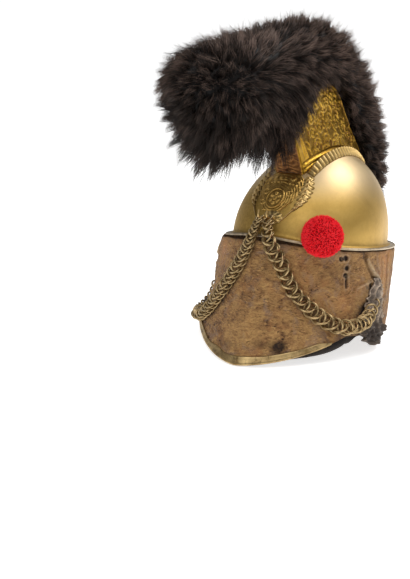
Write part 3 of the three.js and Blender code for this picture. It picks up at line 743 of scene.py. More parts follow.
@dataclass(frozen=True)
class BrassFinish:
    """Old brass: a satin ground, tarnish in patches and in the relief's hollow places, and on the bowl
    painted shade and a painted highlight where its marks say.
    """

    name: str
    bright: Colour
    ground: Colour
    tarnish: Colour
    smoothest: float = 0.24
    roughest: float = 0.42
    patches: float = 0.5
    patch_mm: float = 40
    hollows: bool = False
    pitting: float = 0.03
    # Paler colour for the bowl's upper part: partly rubbed brass, partly a painted highlight.
    rubbed: Colour = (0.80, 0.68, 0.50)

    def material(self) -> Material:
        """The finish as a node material.

        Returns:
            The material; its relief's hollow places are browned where it has them; on the bowl the same
            browning is partly painted shade, and its paler upper part is partly a painted highlight.
        """
        sketch = Sketch(self.name)
        sketch.constant(Metallic=1.0)
        broad = sketch.noise(self.patch_mm, 5, 0.6, 0.6)
        colour = sketch.ramp(broad, [(0.3, self.ground), (0.68, self.bright)])
        colour = sketch.tinted(colour, self.tarnish, (9, 6, 0.7, 1.2), (0.5, 0.72, self.patches))
        colour = sketch.tinted(colour, self.tarnish, (1.6, 3, 0.7), (0.64, 0.74, 0.75 * self.patches))
        wear = sketch.sum(sketch.noise(14, 6, 0.7), sketch.noise(2.2, 3), "MULTIPLY")
        level = sketch.span(wear, 0.12, 0.42, self.smoothest, self.roughest)
        if self.hollows:
            # Tarnish in the relief's hollow places; on the bowl the same mark is also painted shade.
            grime = sketch.broken("Hollow", (3.5, 4, 0.7), (0.3, 0.7, 0.35, 0.85))
            colour = sketch.blend(grime, colour, shade(self.tarnish, 0.6))
            level = sketch.sum(level, sketch.span(sketch.mark("Hollow"), 0, 1, 0, 0.22))
            # Paler brass on the bowl's upper part: partly rubbed, partly a painted highlight.
            colour = sketch.blend(sketch.mark("Rubbed"), colour, self.rubbed)
        sketch.colour(colour)
        sketch.roughness(level)
        scratches = sketch.noise(0.9, 2, 0.6, 0, stretch=(1, 1, 9), turn=(12, 20, 0))
        sketch.relief(scratches, self.pitting, 0.35)
        sketch.relief(sketch.noise(5, 4, 0.6), self.pitting * 3, 0.5)
        return sketch.material


@dataclass(frozen=True)
class HideFinish:
    """Worn brown hide: nap in streaks, rubbed tan places, dark stains and flecks, painted shade in folds,
    holes and under the chains, and painted highlights on fold crests.
    """

    name: str
    tan: Colour = (0.41, 0.235, 0.086)
    brown: Colour = (0.185, 0.088, 0.033)
    dark: Colour = (0.030, 0.014, 0.007)
    rust: Colour = (0.46, 0.21, 0.075)
    pale: Colour = (0.66, 0.50, 0.32)
    mauve: Colour = (0.25, 0.180, 0.135)

    def material(self) -> Material:
        """The finish as a node material.

        Returns:
            The material: tones of brown, then washed-out mauve, warm, rubbed, flecked and light places,
                stains with painted shade, and frayed places with painted highlights.
        """
        sketch = Sketch(self.name)
        sketch.constant(Metallic=0.0, Sheen_Weight=0.05, Sheen_Roughness=0.6, Specular_IOR_Level=0.16)
        cloud = sketch.noise(34, 4, 0.60, 1.4, turn=(0, 25, 0))
        streak = sketch.noise(9, 4, 0.60, 1.2, stretch=(1, 1, 2.0), turn=(0, 38, 20))
        grain = sketch.noise(3.2, 5, 0.75, 0.6, stretch=(1, 1, 1.8), turn=(0, 42, 10))
        tone = sketch.sum(sketch.span(cloud, 0.38, 0.62, 0, 0.36), sketch.span(streak, 0.36, 0.64, 0, 0.34))
        tone = sketch.sum(tone, sketch.span(grain, 0.36, 0.64, 0, 0.32))
        middle = tuple(0.5 * (a + b) for a, b in zip(self.tan, self.brown))
        colour = sketch.ramp(tone, [(0.12, self.dark), (0.30, self.brown), (0.54, middle), (0.80, self.tan)])
        colour = sketch.tinted(colour, self.mauve, (26, 4, 0.6, 1.0), (0.52, 0.62, 0.40), turn=(40, 0, 10))
        colour = sketch.tinted(colour, shade(self.rust, 0.7), (24, 5, 0.65, 1.0), (0.51, 0.68, 0.6))
        colour = sketch.blend(sketch.broken("Rust", (12, 4, 0.6), (0.3, 0.7, 0.4, 1.2)), colour, self.rust)
        flecks = {"stretch": (1, 1, 2.6), "turn": (0, 60, 0)}
        colour = sketch.tinted(colour, self.dark, (8, 3, 0.55, 1.2), (0.61, 0.68, 0.65), **flecks)
        light = {"stretch": (1, 1, 2.2), "turn": (0, 50, 30)}
        colour = sketch.tinted(colour, shade(self.tan, 1.3), (7, 3, 0.55, 1.0), (0.58, 0.70, 0.7), **light)
        # Stains, with painted shade in holes, slits, beside folds, under the bowl's lip and under the chains.
        stained = sketch.broken("Stain", (5, 5, 0.7), (0.25, 0.65, 0.5, 1.15))
        colour = sketch.blend(stained, colour, shade(self.dark, 0.6))
        # Frayed edges, and painted highlights along fold crests.
        colour = sketch.blend(sketch.broken("Pale", (2.5, 4, 0.7), (0.3, 0.6, 0.3, 1.1)), colour, self.pale)
        sketch.colour(colour)
        sketch.roughness(sketch.span(tone, 0.2, 0.8, 0.62, 0.92))
        sketch.relief(grain, 1.1, 0.9)
        sketch.relief(streak, 3.0, 0.9)
        return sketch.material


@dataclass(frozen=True)
class LeatherFinish:
    """Old black leather: dry cracks, and lighter where its mark says: worn edges, and painted highlights on
    the crease ridges of the torn strap.
    """

    name: str
    ground: Colour = (0.018, 0.014, 0.012)
    worn: Colour = (0.17, 0.14, 0.12)
    shine: float = 0.34

    def material(self) -> Material:
        """The finish as a node material.

        Returns:
            The material.
        """
        sketch = Sketch(self.name)
        sketch.constant(Metallic=0.0, Specular_IOR_Level=0.3)
        patches = sketch.noise(10, 6, 0.7, 0.8)
        stops = [(0.35, self.ground), (0.62, shade(self.ground, 2.2)), (0.8, self.worn)]
        colour = sketch.ramp(patches, stops)
        # Worn edges, and painted highlights on the torn strap's crease ridges.
        colour = sketch.blend(sketch.broken("Wear", (3, 4, 0.7), (0.3, 0.7, 0.3, 1.2)), colour, self.worn)
        sketch.colour(colour)
        sketch.roughness(sketch.span(patches, 0.3, 0.7, self.shine, 0.75))
        sketch.relief(sketch.span(sketch.cracks(3.2), 0.0, 0.09), 0.5, 0.6)
        sketch.relief(sketch.noise(0.7, 3), 0.25, 0.6)
        return sketch.material


@dataclass(frozen=True)
class HairFinish:
    """Hair or wool in strands, from a deep root colour to the tip's, each strand its own tone; the deep roots
    are partly painted shade between the strands.
    """

    name: str
    root: Colour
    middle: Colour
    tip: Colour
    gloss: float = 0.5
    specular: float = 0.4

    def material(self) -> Material:
        """The finish as a node material.

        Returns:
            The material.
        """
        sketch = Sketch(self.name)
        sketch.constant(Metallic=0.0, Specular_IOR_Level=self.specular)
        clumps = sketch.span(sketch.noise(22, 4, 0.6), 0.3, 0.7, 0, 0.25)
        tone = sketch.sum(sketch.span(sketch.mark("Tone"), 0, 1, 0, 0.45), clumps)
        share = sketch.sum(tone, sketch.span(sketch.mark("Tip"), 0, 1, 0, 0.58))
        # Darker towards the roots: partly the strands' own colour, partly painted shade between them.
        sketch.colour(sketch.ramp(share, [(0.12, self.root), (0.60, self.middle), (1.0, self.tip)]))
        sketch.roughness(sketch.span(sketch.mark("Tone"), 0, 1, self.gloss - 0.08, self.gloss + 0.14))
        sketch.relief(sketch.noise(0.6, 2), 0.15, 0.4)
        return sketch.material


BOWL_BRASS = BrassFinish(
    "satin_brass", (0.64, 0.415, 0.120), (0.50, 0.312, 0.080), (0.27, 0.175, 0.040),
    smoothest=0.41, roughest=0.47, patches=0.16, patch_mm=45, hollows=True,
)
LIP_BRASS = BrassFinish(
    "rubbed_brass", (0.78, 0.67, 0.50), (0.46, 0.35, 0.21), (0.15, 0.10, 0.06),
    smoothest=0.26, roughest=0.42, patches=0.6, patch_mm=40, hollows=True,
)
RELIEF_BRASS = BrassFinish(
    "tarnished_brass", (0.60, 0.360, 0.052), (0.33, 0.172, 0.014), (0.11, 0.052, 0.011),
    smoothest=0.24, roughest=0.44, patches=0.30, patch_mm=24, hollows=True,
)
PLATE_BRASS = BrassFinish(
    "dull_plate_brass", (0.76, 0.48, 0.14), (0.50, 0.295, 0.072), (0.20, 0.108, 0.028),
    smoothest=0.28, roughest=0.46, patches=0.35, patch_mm=14, hollows=True,
)
RUBBED_RELIEF = BrassFinish(
    "rubbed_relief_brass", (0.74, 0.52, 0.22), (0.50, 0.325, 0.105), (0.09, 0.050, 0.016),
    smoothest=0.26, roughest=0.44, patches=0.35, patch_mm=12, hollows=True,
)
FACE_BRASS = BrassFinish(
    "red_brown_tarnish", (0.34, 0.16, 0.05), (0.15, 0.062, 0.025), (0.06, 0.024, 0.013),
    smoothest=0.28, roughest=0.50, patches=0.4, patch_mm=7, hollows=True,
)
BAND_BRASS = BrassFinish(
    "edge_brass", (0.60, 0.43, 0.20), (0.19, 0.118, 0.048), (0.05, 0.030, 0.015),
    smoothest=0.28, roughest=0.46, patches=0.9, patch_mm=20, hollows=False,
)
CHAIN_BRASS = BrassFinish(
    "dull_chain_brass", (0.56, 0.41, 0.21), (0.25, 0.170, 0.075), (0.035, 0.022, 0.010),
    smoothest=0.26, roughest=0.46, patches=0.85, patch_mm=7, hollows=False,
)
HIDE = HideFinish("worn_hide")
LEATHER = LeatherFinish("dry_black_leather", (0.012, 0.010, 0.009), (0.07, 0.058, 0.05), shine=0.45)
# Its light worn colour is also the painted highlight on the strap's crease ridges.
TORN_LEATHER = LeatherFinish("torn_strap_leather", (0.022, 0.015, 0.012), (0.58, 0.45, 0.33), shine=0.26)
# The dark root colours of fur and wool are partly painted shade between the strands.
FUR = HairFinish(
    "black_brown_fur", (0.0024, 0.0016, 0.0012), (0.017, 0.0105, 0.0075), (0.235, 0.160, 0.128),
    gloss=0.52, specular=0.16,
)
WOOL = HairFinish(
    "red_wool", (0.22, 0.002, 0.005), (0.90, 0.012, 0.022), (0.98, 0.050, 0.062), gloss=0.90, specular=0.05
)


# ---------------------------------------------------------------- carrying surfaces


@dataclass(frozen=True)
class SkullForm:
    """The bowl's outside: ovals that shrink with height by a different curve in front, behind and beside."""

    half_length: float = 112.0
    half_width: float = 89.5
    height: float = 122.0
    wall: float = 1.2
    arch: float = 9.5
    arch_spread: float = math.radians(40)
    curves: Rows = ((2.0, 1.2), (3.2, 1.7), (2.2, 1.5))  # front, back, side

    def rim(self, angle: Array) -> Array:
        """How far the rim climbs over the brow: a bell curve round the front."""
        return self.arch * bell(wrap(angle) / self.arch_spread)

    def axes(self, z: Array, grow: float = 0.0) -> tuple[Array, ...]:
        """How far an oval reaches to the front, the back and the side: full times (1 - t^rise)^(1/power).

        Args:
            z: the oval's height.
            grow: how much larger the bowl is all round.

        Returns:
            The three reaches.
        """
        t = np.clip(np.maximum(z, 0) / (self.height + grow), 0, 1)
        full = (self.half_length, self.half_length, self.half_width)
        return tuple((f + grow) * (1 - t**rise) ** (1 / power) for f, (rise, power) in zip(full, self.curves))

    def at(self, angle: Array, z: Array, grow: float = 0.0, out: Array | float = 0.0) -> Array:
        """Points of the bowl.

        Args:
            angle: round from the front towards the wearer's left.
            z: height over the rim's middle.
            grow: how much larger the bowl is all round.
            out: how far out level from the wall.

        Returns:
            The points, one for each angle and height.
        """
        angle, z = together(angle, z)
        front, back, side = (reach + out for reach in self.axes(z, grow))
        y = (back - front) / 2 - (back + front) / 2 * np.cos(angle)
        return np.stack([side * np.sin(angle), y, z + 0 * y], axis=-1)

    def height_over(self, x: Array, y: Array) -> Array:
        """The height of the bowl over points of its plan, found by halving.

        Args:
            x: places towards the wearer's left.
            y: places towards the back.

        Returns:
            The heights, 0 outside the rim.
        """
        x, y = together(x, y)
        low, high = np.zeros(x.shape), np.full(x.shape, self.height)
        for _ in range(HALVINGS):
            z = (low + high) / 2
            front, back, side = self.axes(z)
            half, side = np.maximum((back + front) / 2, 1e-6), np.maximum(side, 1e-6)
            inside = (x / side) ** 2 + ((y - (back - front) / 2) / half) ** 2 < 1
            low, high = np.where(inside, z, low), np.where(inside, high, z)
        return low

    def stand_off(self, x: Array, y: Array, lift: Array | float) -> Array:
        """Points that stand off the bowl along its normal, which comes from the slopes of its height.

        Args:
            x: places towards the wearer's left.
            y: places towards the back.
            lift: how far off.

        Returns:
            The points.
        """
        x, y, lift = together(x, y, lift)
        step = 0.5
        slope_x = (self.height_over(x + step, y) - self.height_over(x - step, y)) / (2 * step)
        slope_y = (self.height_over(x, y + step) - self.height_over(x, y - step)) / (2 * step)
        normal = unit(np.stack([-slope_x, -slope_y, np.ones_like(slope_x)], axis=-1))
        return np.stack([x, y, self.height_over(x, y)], axis=-1) + normal * lift[..., None]


@dataclass(frozen=True)
class CoverForm:
    """The hide's outside, from the turban's top edge down to the visor's edge and the turban's back."""

    head: HeadFrame
    skull: SkullForm
    half_length: float = 121.5
    half_width: float = 98.5
    wall: float = 2.5
    top: float = -2.4
    top_arch: float = 0.6
    back_inset: float = 3.0
    back_hem: float = -100.0
    visor_width: float = 116.0
    corner_y: float = -39.6
    visor_reach: float = 118.4
    corner_z: float = -70.7
    fall: float = -79.2
    curl: float = 13.4
    side_hem: float = -96.5
    blend: float = 1.28
    flare: float = 1.7
    swells: Rows = (
        # angle, down, wide, tall, out
        (-72, 0.18, 34, 0.3, 6),
        (80, 0.35, 9, 0.3, 3),
        (60, 0.5, 12, 0.22, -2.5),
        (18, 0.45, 16, 0.35, -2),
        (150, 0.5, 18, 0.3, 2.5),
        (-140, 0.6, 16, 0.25, 2.5),
    )

    def hem(self, angle: Array) -> Array:
        """The lower edge: the visor's round front, the sides, and the back on the table.

        Args:
            angle: round from the front.

        Returns:
            Points whose front part is a rounded box in plan, and whose back part is an oval.
        """
        turn = wrap(angle)
        forward = np.maximum(np.cos(turn), 0) ** self.blend
        front = np.stack(
            [
                self.visor_width * np.sign(np.sin(turn)) * np.abs(np.sin(turn)) ** self.blend,
                self.corner_y - self.visor_reach * forward,
                np.minimum(self.corner_z + self.fall * forward + self.curl * forward**2, self.side_hem),
            ],
            axis=-1,
        )
        back_y = -(self.half_length - self.back_inset) * np.cos(turn)
        back_z = np.maximum(self.back_hem, self.head.table(back_y))
        back = np.stack([(self.half_width - 2) * np.sin(turn), back_y, back_z], axis=-1)
        share = smooth_step((np.abs(turn) - math.radians(62)) / math.radians(58))[..., None]
        return front * (1 - share) + back * share

    def swell(self, angle: Array, down: Array) -> Array:
        """Broad swells and hollows of the dried hide: bell curves, faded out before the edge.

        Args:
            angle: round from the front.
            down: 0 at the top edge to 1 at the lower edge.

        Returns:
            Millimetres out.
        """
        total = np.zeros(np.broadcast(angle, down).shape)
        for middle, level, wide, tall, out in self.swells:
            across = wrap(angle - math.radians(middle)) / math.radians(wide)
            total = total + out * np.exp(-(across**2) - ((down - level) / tall) ** 2)
        return total * (1 - smooth_step((down - 0.6) / 0.3))

    def at(self, angle: Array, down: Array) -> Array:
        """Points of the hide: an oval at its top edge that turns into the hem by a power of the way down.

        Args:
            angle: round from the front.
            down: 0 at the top edge to 1 at the lower edge.

        Returns:
            The points.
        """
        angle, down = together(angle, down)
        hem = self.hem(angle)
        flare = np.maximum(down, 0) ** self.flare
        out = self.swell(angle, down)
        x = self.half_width * np.sin(angle) * (1 - flare) + hem[..., 0] * flare + out * np.sin(angle)
        y = -self.half_length * np.cos(angle) * (1 - flare) + hem[..., 1] * flare - out * np.cos(angle)
        top = self.top + self.top_arch * self.skull.rim(angle)
        return np.stack([x, y, top * (1 - down) + hem[..., 2] * down], axis=-1)

    def frame(self, angle: Array, down: Array) -> tuple[Array, Array]:
        """The downhill direction and the outward normal, by small differences.

        Args:
            angle: round from the front.
            down: 0 at the top edge to 1 at the lower edge.

        Returns:
            Both, as unit vectors.
        """
        step = 0.01
        fall = unit(self.at(angle, down + step) - self.at(angle, np.maximum(down - step, 0)))
        ahead = self.at(angle + step, down) - self.at(angle - step, down)
        normal = unit(np.cross(fall, ahead))
        outward = np.stack([np.sin(angle), -np.cos(angle), np.zeros(np.shape(angle))], axis=-1)
        return fall, np.where((normal * outward).sum(-1, keepdims=True) < 0, -normal, normal)

    def off(self, angle: Array, down: Array, lift: Array | float, past: Array | float = 0.0) -> Array:
        """Points off the hide, along its normal and downhill.

        Args:
            angle: round from the front.
            down: 0 at the top edge to 1 at the lower edge.
            lift: how far off.
            past: how far on downhill.

        Returns:
            The points.
        """
        angle, down, lift, past = together(angle, down, lift, past)
        fall, normal = self.frame(angle, down)
        return self.at(angle, down) + normal * lift[..., None] + fall * past[..., None]

    def down_at(self, angle: Array, z: Array) -> Array:
        """How far down the hide a height is."""
        top = self.top + self.top_arch * self.skull.rim(angle)
        return (top - z) / (top - self.hem(angle)[..., 2])

    def off_helmet(self, angle: Array, z: Array, lift: Array) -> Array:
        """Points off the outermost surface at a height: the hide, or the bowl above it.

        Args:
            angle: round from the front.
            z: height over the rim's middle.
            lift: how far off.

        Returns:
            The points.
        """
        angle, z, lift = together(angle, z, lift)
        low = self.off(angle, np.maximum(self.down_at(angle, z), 0), lift)
        high = self.skull.at(angle, z, 0, lift)
        return np.where((self.down_at(angle, z) >= 0)[..., None], low, high)


# ---------------------------------------------------------------- bowl


@dataclass
class Bowl:
    """The brass bowl with the rolled lip round its rim."""

    head: HeadFrame
    skull: SkullForm
    around: int = 152
    wall_rows: int = 56
    lip_reach: float = 9.5
    bead: float = 1.6
    inner_rows: int = 22
    lip_rise: float = 3.0
    hem: float = 0.4

    def face(self, rise: Array, foot_up: float, inset: float) -> Array:
        """One face of the wall; a sine of the rise gives close rows near the apex.

        Args:
            rise: 0 at the foot to a quarter turn at the apex.
            foot_up: how far the foot is above the rim.
            inset: how far the face is inside the bowl's outside.

        Returns:
            Points, one row an angle.
        """
        angle, share = circle(self.around)[:, None], np.sin(rise)[None, :]
        foot = self.skull.rim(angle) + foot_up
        return self.skull.at(angle + 0 * share, foot + (self.skull.height - inset - foot) * share, -inset)

    def lip(self) -> Array:
        """The lip: a hollow curve out from the wall to a round bead, and back level under it.

        Returns:
            Points, one row an angle.
        """
        angle = circle(self.around)[:, None]
        turn = np.linspace(-0.85 * math.pi, 0.80 * math.pi, 15)
        bead_out = self.lip_reach - self.bead + self.bead * np.cos(turn)
        bead_up = self.bead * np.sin(turn)
        t = np.linspace(0, 1, 8)[1:-1]
        start, bend, end = (bead_out[-1], bead_up[-1]), (2.2, 0.3), (0.0, self.lip_rise)
        curve = [(1 - t) ** 2 * a + 2 * t * (1 - t) * b + t**2 * c for a, b, c in zip(start, bend, end)]
        out = np.concatenate([[-self.skull.wall, 3.0], bead_out, curve[0]])[None, :]
        up = np.concatenate([[-self.hem, -self.hem], bead_up, curve[1]])[None, :]
        wave = 0.35 * np.sin(3 * angle + 1) + 0.25 * np.sin(7 * angle)
        return self.skull.at(angle + 0 * out, self.skull.rim(angle) + up, 0.0, out + wave * (out > 2))

    def dents(self, points: Array) -> Array:
        """Shallow dents: slow waves of about 0.3 mm, mostly along the level normal."""
        return points + unit(points * [1, 1, 0.2]) * (0.3 * rough(points, 48, 2, 5))[..., None]

    def build(self) -> list[Piece]:
        """The bowl with its lip as one closed skin: darker at the right front and round the lip, tarnish that
        is partly painted shade, and paler towards the top, partly rubbed brass and partly a painted
        highlight.

        Returns:
            The bowl.
        """
        quarter = math.pi / 2
        wall = self.dents(self.face(np.linspace(0, quarter, self.wall_rows), self.lip_rise, 0.0))
        inside = self.face(np.linspace(quarter, 0, self.inner_rows), -self.hem, self.skull.wall)
        rows = np.concatenate([self.lip(), wall, inside], axis=1)
        z = rows[..., 2]
        # Tarnish that is also painted shade: darker at the right front and round the lip, less towards the
        # top.
        dull = 0.85 * bell(wrap(circle(self.around)[:, None] + math.radians(25)) / math.radians(52)) + 0 * z
        dull = dull + 0.35 * bell((z - 4) / 7) - 0.15 * smooth_step((z - 60) / 50)
        skin = Skin()
        faces = grid_faces(*rows.shape[:2], close_rows=True, close_columns=True)
        # Paler towards the top: partly rubbed brass, partly a painted highlight.
        skin.add(rows, faces, Hollow=np.clip(dull, 0, 1), Rubbed=0.5 * smooth_step((z - 46) / 42))
        bowl = skin.dressed("brass_bowl", self.head, BOWL_BRASS.material(), "bowl", "bowl_brass")
        second_finish(bowl.data, LIP_BRASS.material(), self.on_lip(bowl.data))
        return [bowl]

    def on_lip(self, mesh: bpy.types.Mesh) -> Array:
        """Which faces are the lip's bead: those well outside the wall.

        Args:
            mesh: the bowl's mesh.

        Returns:
            True or False for each face.
        """
        x, y, _ = np.moveaxis(self.head.from_row(face_values(mesh, "center")), -1, 0)
        angle = np.arctan2(x / self.skull.half_width, -y / self.skull.half_length)
        wall = self.skull.at(angle, np.zeros_like(angle), 0.0, 3.5)
        return np.hypot(x, y) > np.hypot(wall[:, 0], wall[:, 1])


# ---------------------------------------------------------------- crest


@dataclass(frozen=True)
class Scroll:
    """One foliage scroll: a spiral stem with leaves along its outer side."""

    y: float
    z: float
    radius: float
    turns: float
    start: float
    sense: float

    def path(self) -> Array:
        """The spiral: the radius shrinks evenly to a fifth while it turns.

        Returns:
            Points in the plane of the crest's side.
        """
        t = np.linspace(0, 1, 26)
        angle = math.radians(self.start) + self.sense * TURN * self.turns * t
        reach = self.radius * (1 - 0.8 * t)
        return np.stack([self.y + reach * np.cos(angle), self.z + reach * np.sin(angle)], axis=1)


@dataclass
class Crest:
    """The tall brass comb: embossed sides, a double moulding at the foot, a tarnished front face."""

    head: HeadFrame
    skull: SkullForm
    up_rows: int = 112
    side_columns: int = 264
    front_columns: int = 34
    back_columns: int = 10
    rows: Rows = (
        # y and z of the foot, y and z of the top, half the width of the foot and of the top
        (-62, 76, -122, 190, 19, 16),
        (-48, 84, -92, 197, 21, 16),
        (-30, 92, -60, 197, 23, 16),
        (-8, 100, -28, 194, 25, 16),
        (16, 103, 4, 185, 26, 16),
        (36, 102, 30, 160, 25, 15.5),
        (58, 94, 56, 135, 22, 14.5),
        (78, 82, 80, 116, 18, 13),
        (92, 70, 99, 98, 14, 11),
    )
    stems: tuple[Rows, ...] = (
        ((-48, 96), (-58, 112), (-60, 130), (-72, 148), (-80, 166), (-92, 184)),
        ((-30, 104), (-34, 120), (-44, 136), (-46, 154), (-60, 170), (-66, 188)),
        ((-10, 110), (-14, 126), (-24, 142), (-26, 158), (-40, 172), (-42, 190)),
        ((10, 114), (8, 128), (-4, 142), (-6, 158), (-18, 170), (-20, 186)),
        ((30, 112), (26, 126), (16, 138), (12, 152), (4, 166), (2, 178)),
        ((50, 106), (46, 118), (38, 128), (32, 142), (28, 152)),
        ((68, 98), (64, 108), (58, 118), (54, 128)),
    )
    curl: float = 8.5
    curl_every: float = 14.0
    rolls_top: float = 0.162
    rounding: float = 1.3

    def table(self, u: Array) -> Array:
        """The crest's sections, from 0 at the front to 1 at the back, smoothed between the rows."""
        return between_rows(self.rows, u)

    def half_width(self, section: Array, t: Array) -> Array:
        """Half the thickness at a share of the height: widest at the foot, even in the upper half."""
        base, top = section[..., 4], section[..., 5]
        return base + 0.4 + (top - base - 0.4) * smooth_step((t - 0.10) / 0.50)

    def side_point(self, u: Array, t: Array, side: Array, inset: float = 0.0) -> Array:
        """Points of the crest's sides.

        Args:
            u: along the crest from its front to its back.
            t: up from the foot to the top.
            side: +1 for the wearer's left, -1 for the right, or a share of it.
            inset: how far in from the surface.

        Returns:
            The points.
        """
        u, t, side = np.broadcast_arrays(u, t, side)
        section = self.table(u)
        y = section[..., 0] + (section[..., 2] - section[..., 0]) * t
        z = section[..., 1] + (section[..., 3] - section[..., 1]) * t
        return np.stack([side * (self.half_width(section, t) - inset), y, z], axis=-1)

    def foot(self, u: Array, side: Array) -> Array:
        """The share of the height at which the side meets the bowl, found by halving.

        Args:
            u: 0 at the front to 1 at the back.
            side: +1 for the wearer's left, -1 for the right, or a share of it.

        Returns:
            The shares.
        """
        low, high = np.full(u.shape, -0.25), np.full(u.shape, 0.5)
        for _ in range(24):
            t = (low + high) / 2
            point = self.side_point(u, t, side)
            under = point[..., 2] < self.skull.height_over(point[..., 0], point[..., 1]) - 0.35
            low, high = np.where(under, t, low), np.where(under, high, t)
        return low

    def mouldings(self, t: Array, edge: Array) -> Array:
        """Two round rolls and a groove along the foot, in millimetres out.

        Args:
            t: up from the foot to the top.
            edge: millimetres from the nearer upright edge of the side.

        Returns:
            The height of the rolls.
        """
        rolls = 2.0 * bump_shape((t - 0.080) / 0.019) + 2.4 * bump_shape((t - 0.126) / 0.020)
        groove = -1.0 * bell((t - 0.103) / 0.008) - 0.9 * bell((t - 0.155) / 0.008)
        return (rolls + groove) * smooth_step(edge / 4)

    def paths(self) -> list[Array]:
        """The stems' middle lines, each followed by the scrolls on both its sides in turn.

        Returns:
            Paths in the plane of the side.
        """
        found = []
        for stem in self.stems:
            line = through_points(np.array(stem, float), 30)
            found.append(line)
            every = max(int(self.curl_every / float(np.linalg.norm(line[1] - line[0]))), 1)
            for k, place in enumerate(range(2, len(line) - 1, every)):
                sense = 1 if k % 2 else -1
                ahead = unit(line[place + 1] - line[place])
                middle = line[place] + self.curl * sense * np.array([-ahead[1], ahead[0]])
                start = math.degrees(math.atan2(*(line[place] - middle)[::-1]))
                found.append(Scroll(middle[0], middle[1], self.curl, 1.35, start, sense).path())
        return found

    def foliage(self, y: Array, z: Array) -> Array:
        """Scrolls, stems and leaves in low relief, in millimetres.

        Args:
            y: places along the crest.
            z: heights.

        Returns:
            The height of the relief: round stems, and almond leaves with a vein set along them.
        """
        relief = np.zeros(y.shape)
        for number, path in enumerate(self.paths()):
            gap, along, _ = distance_to_path(y, z, path)
            relief = np.maximum(relief, 1.2 * bump_shape(gap / (1.3 - 0.5 * along)))
            relief = np.maximum(relief, 1.2 * bump_shape(np.hypot(y - path[-1, 0], z - path[-1, 1]) / 1.5))
            for k, place in enumerate(range(1, len(path) - 2, 4)):
                ahead = path[place + 1] - path[place]
                ahead = ahead / max(float(np.hypot(*ahead)), 1e-9)
                lean = math.radians(48 if (k + number) % 2 else -48)
                c, s = math.cos(lean), math.sin(lean)
                way = np.array([ahead[0] * c - ahead[1] * s, ahead[0] * s + ahead[1] * c])
                relief = np.maximum(relief, 1.25 * self.leaf(y, z, path[place], way, 7.0 - 0.08 * place))
        return relief

    def leaf(self, y: Array, z: Array, root: Array, way: Array, length: float) -> Array:
        """An almond with a vein: round across, pointed at its tip, grooved along its middle.

        Args:
            y: places along the crest.
            z: heights.
            root: where the leaf starts.
            way: its direction, of length 1.
            length: its length.

        Returns:
            The height of the relief.
        """
        along = ((y - root[0]) * way[0] + (z - root[1]) * way[1]) / length
        across = (-(y - root[0]) * way[1] + (z - root[1]) * way[0]) / (0.24 * length)
        half = np.sqrt(np.clip(4 * along * (1 - along), 0, 1)) * (1 - 0.35 * along)
        body = 1.25 * bump_shape(across / np.maximum(half, 1e-3)) * np.clip(half * 1.4, 0, 1)
        vein = 0.45 * bell(across / 0.16)
        return np.where((along > 0) & (along < 1), body - vein * (half > 0.3), 0)

    def side_relief(self, u: Array, t: Array, y: Array, z: Array) -> Array:
        """The whole relief of a side: margins, groove, ground texture, foliage and mouldings.

        Args:
            u: along the crest.
            t: up from the foot.
            y: places along the crest, in millimetres.
            z: heights, in millimetres.

        Returns:
            Millimetres out from the side.
        """
        section = self.table(u)
        front = self.table(np.zeros_like(u))
        edge = y - (front[..., 0] + (front[..., 2] - front[..., 0]) * t)
        line = self.margin(t)
        inside = smooth_step((edge - line - 1.4) / 2.5) * smooth_step((t - 0.165) / 0.02)
        inside = inside * smooth_step((0.985 - u) / 0.03) * smooth_step((0.97 - t) / 0.02)
        frame = 0.9 * bump_shape((edge - line) / 1.3) * smooth_step((t - 0.15) / 0.03)
        groove = -0.6 * bell((edge - 0.55 * line) / 1.0) * smooth_step((t - 0.16) / 0.05)
        ground = 0.22 * noise(np.stack([y, z, 0 * y], -1), 1.6, 3)
        top_edge = 0.8 * bump_shape((t - 0.965) / 0.018) * smooth_step(edge / 4)
        height = inside * (self.foliage(y, z) + ground - 0.25) + frame + groove + top_edge
        return height + self.mouldings(t, np.minimum(edge, 40 * (1 - u) * section[..., 3] / 90))

    def margin(self, t: Array) -> Array:
        """The plain margin's width behind the front edge: wide at the foot, narrow at the top."""
        return 14.0 - 10.0 * t

    def edge_gap(self, u: Array, t: Array) -> Array:
        """How far behind the crest's front edge the places of a side are, measured level.

        Args:
            u: along the crest.
            t: up from the foot.

        Returns:
            Millimetres.
        """
        section, front = self.table(np.broadcast_to(u, t.shape)), self.table(np.zeros(1))[0]
        y = section[..., 0] + (section[..., 2] - section[..., 0]) * t
        return y - (front[0] + (front[2] - front[0]) * t)

    def loop_columns(self) -> tuple[Array, Array]:
        """The level outline: forward on the left side, across the front, back on the right, across the back.

        Returns:
            For each column of the skin, its place along the crest and its side.
        """
        ease = np.linspace(0, 1, self.side_columns)
        front = np.linspace(1, -1, self.front_columns + 2)[1:-1]
        back = np.linspace(-1, 1, self.back_columns + 2)[1:-1]
        u = np.concatenate([1 - ease, np.zeros_like(front), ease, np.ones_like(back)])
        side = np.concatenate([np.ones_like(ease), front, -np.ones_like(ease), back])
        return u, side

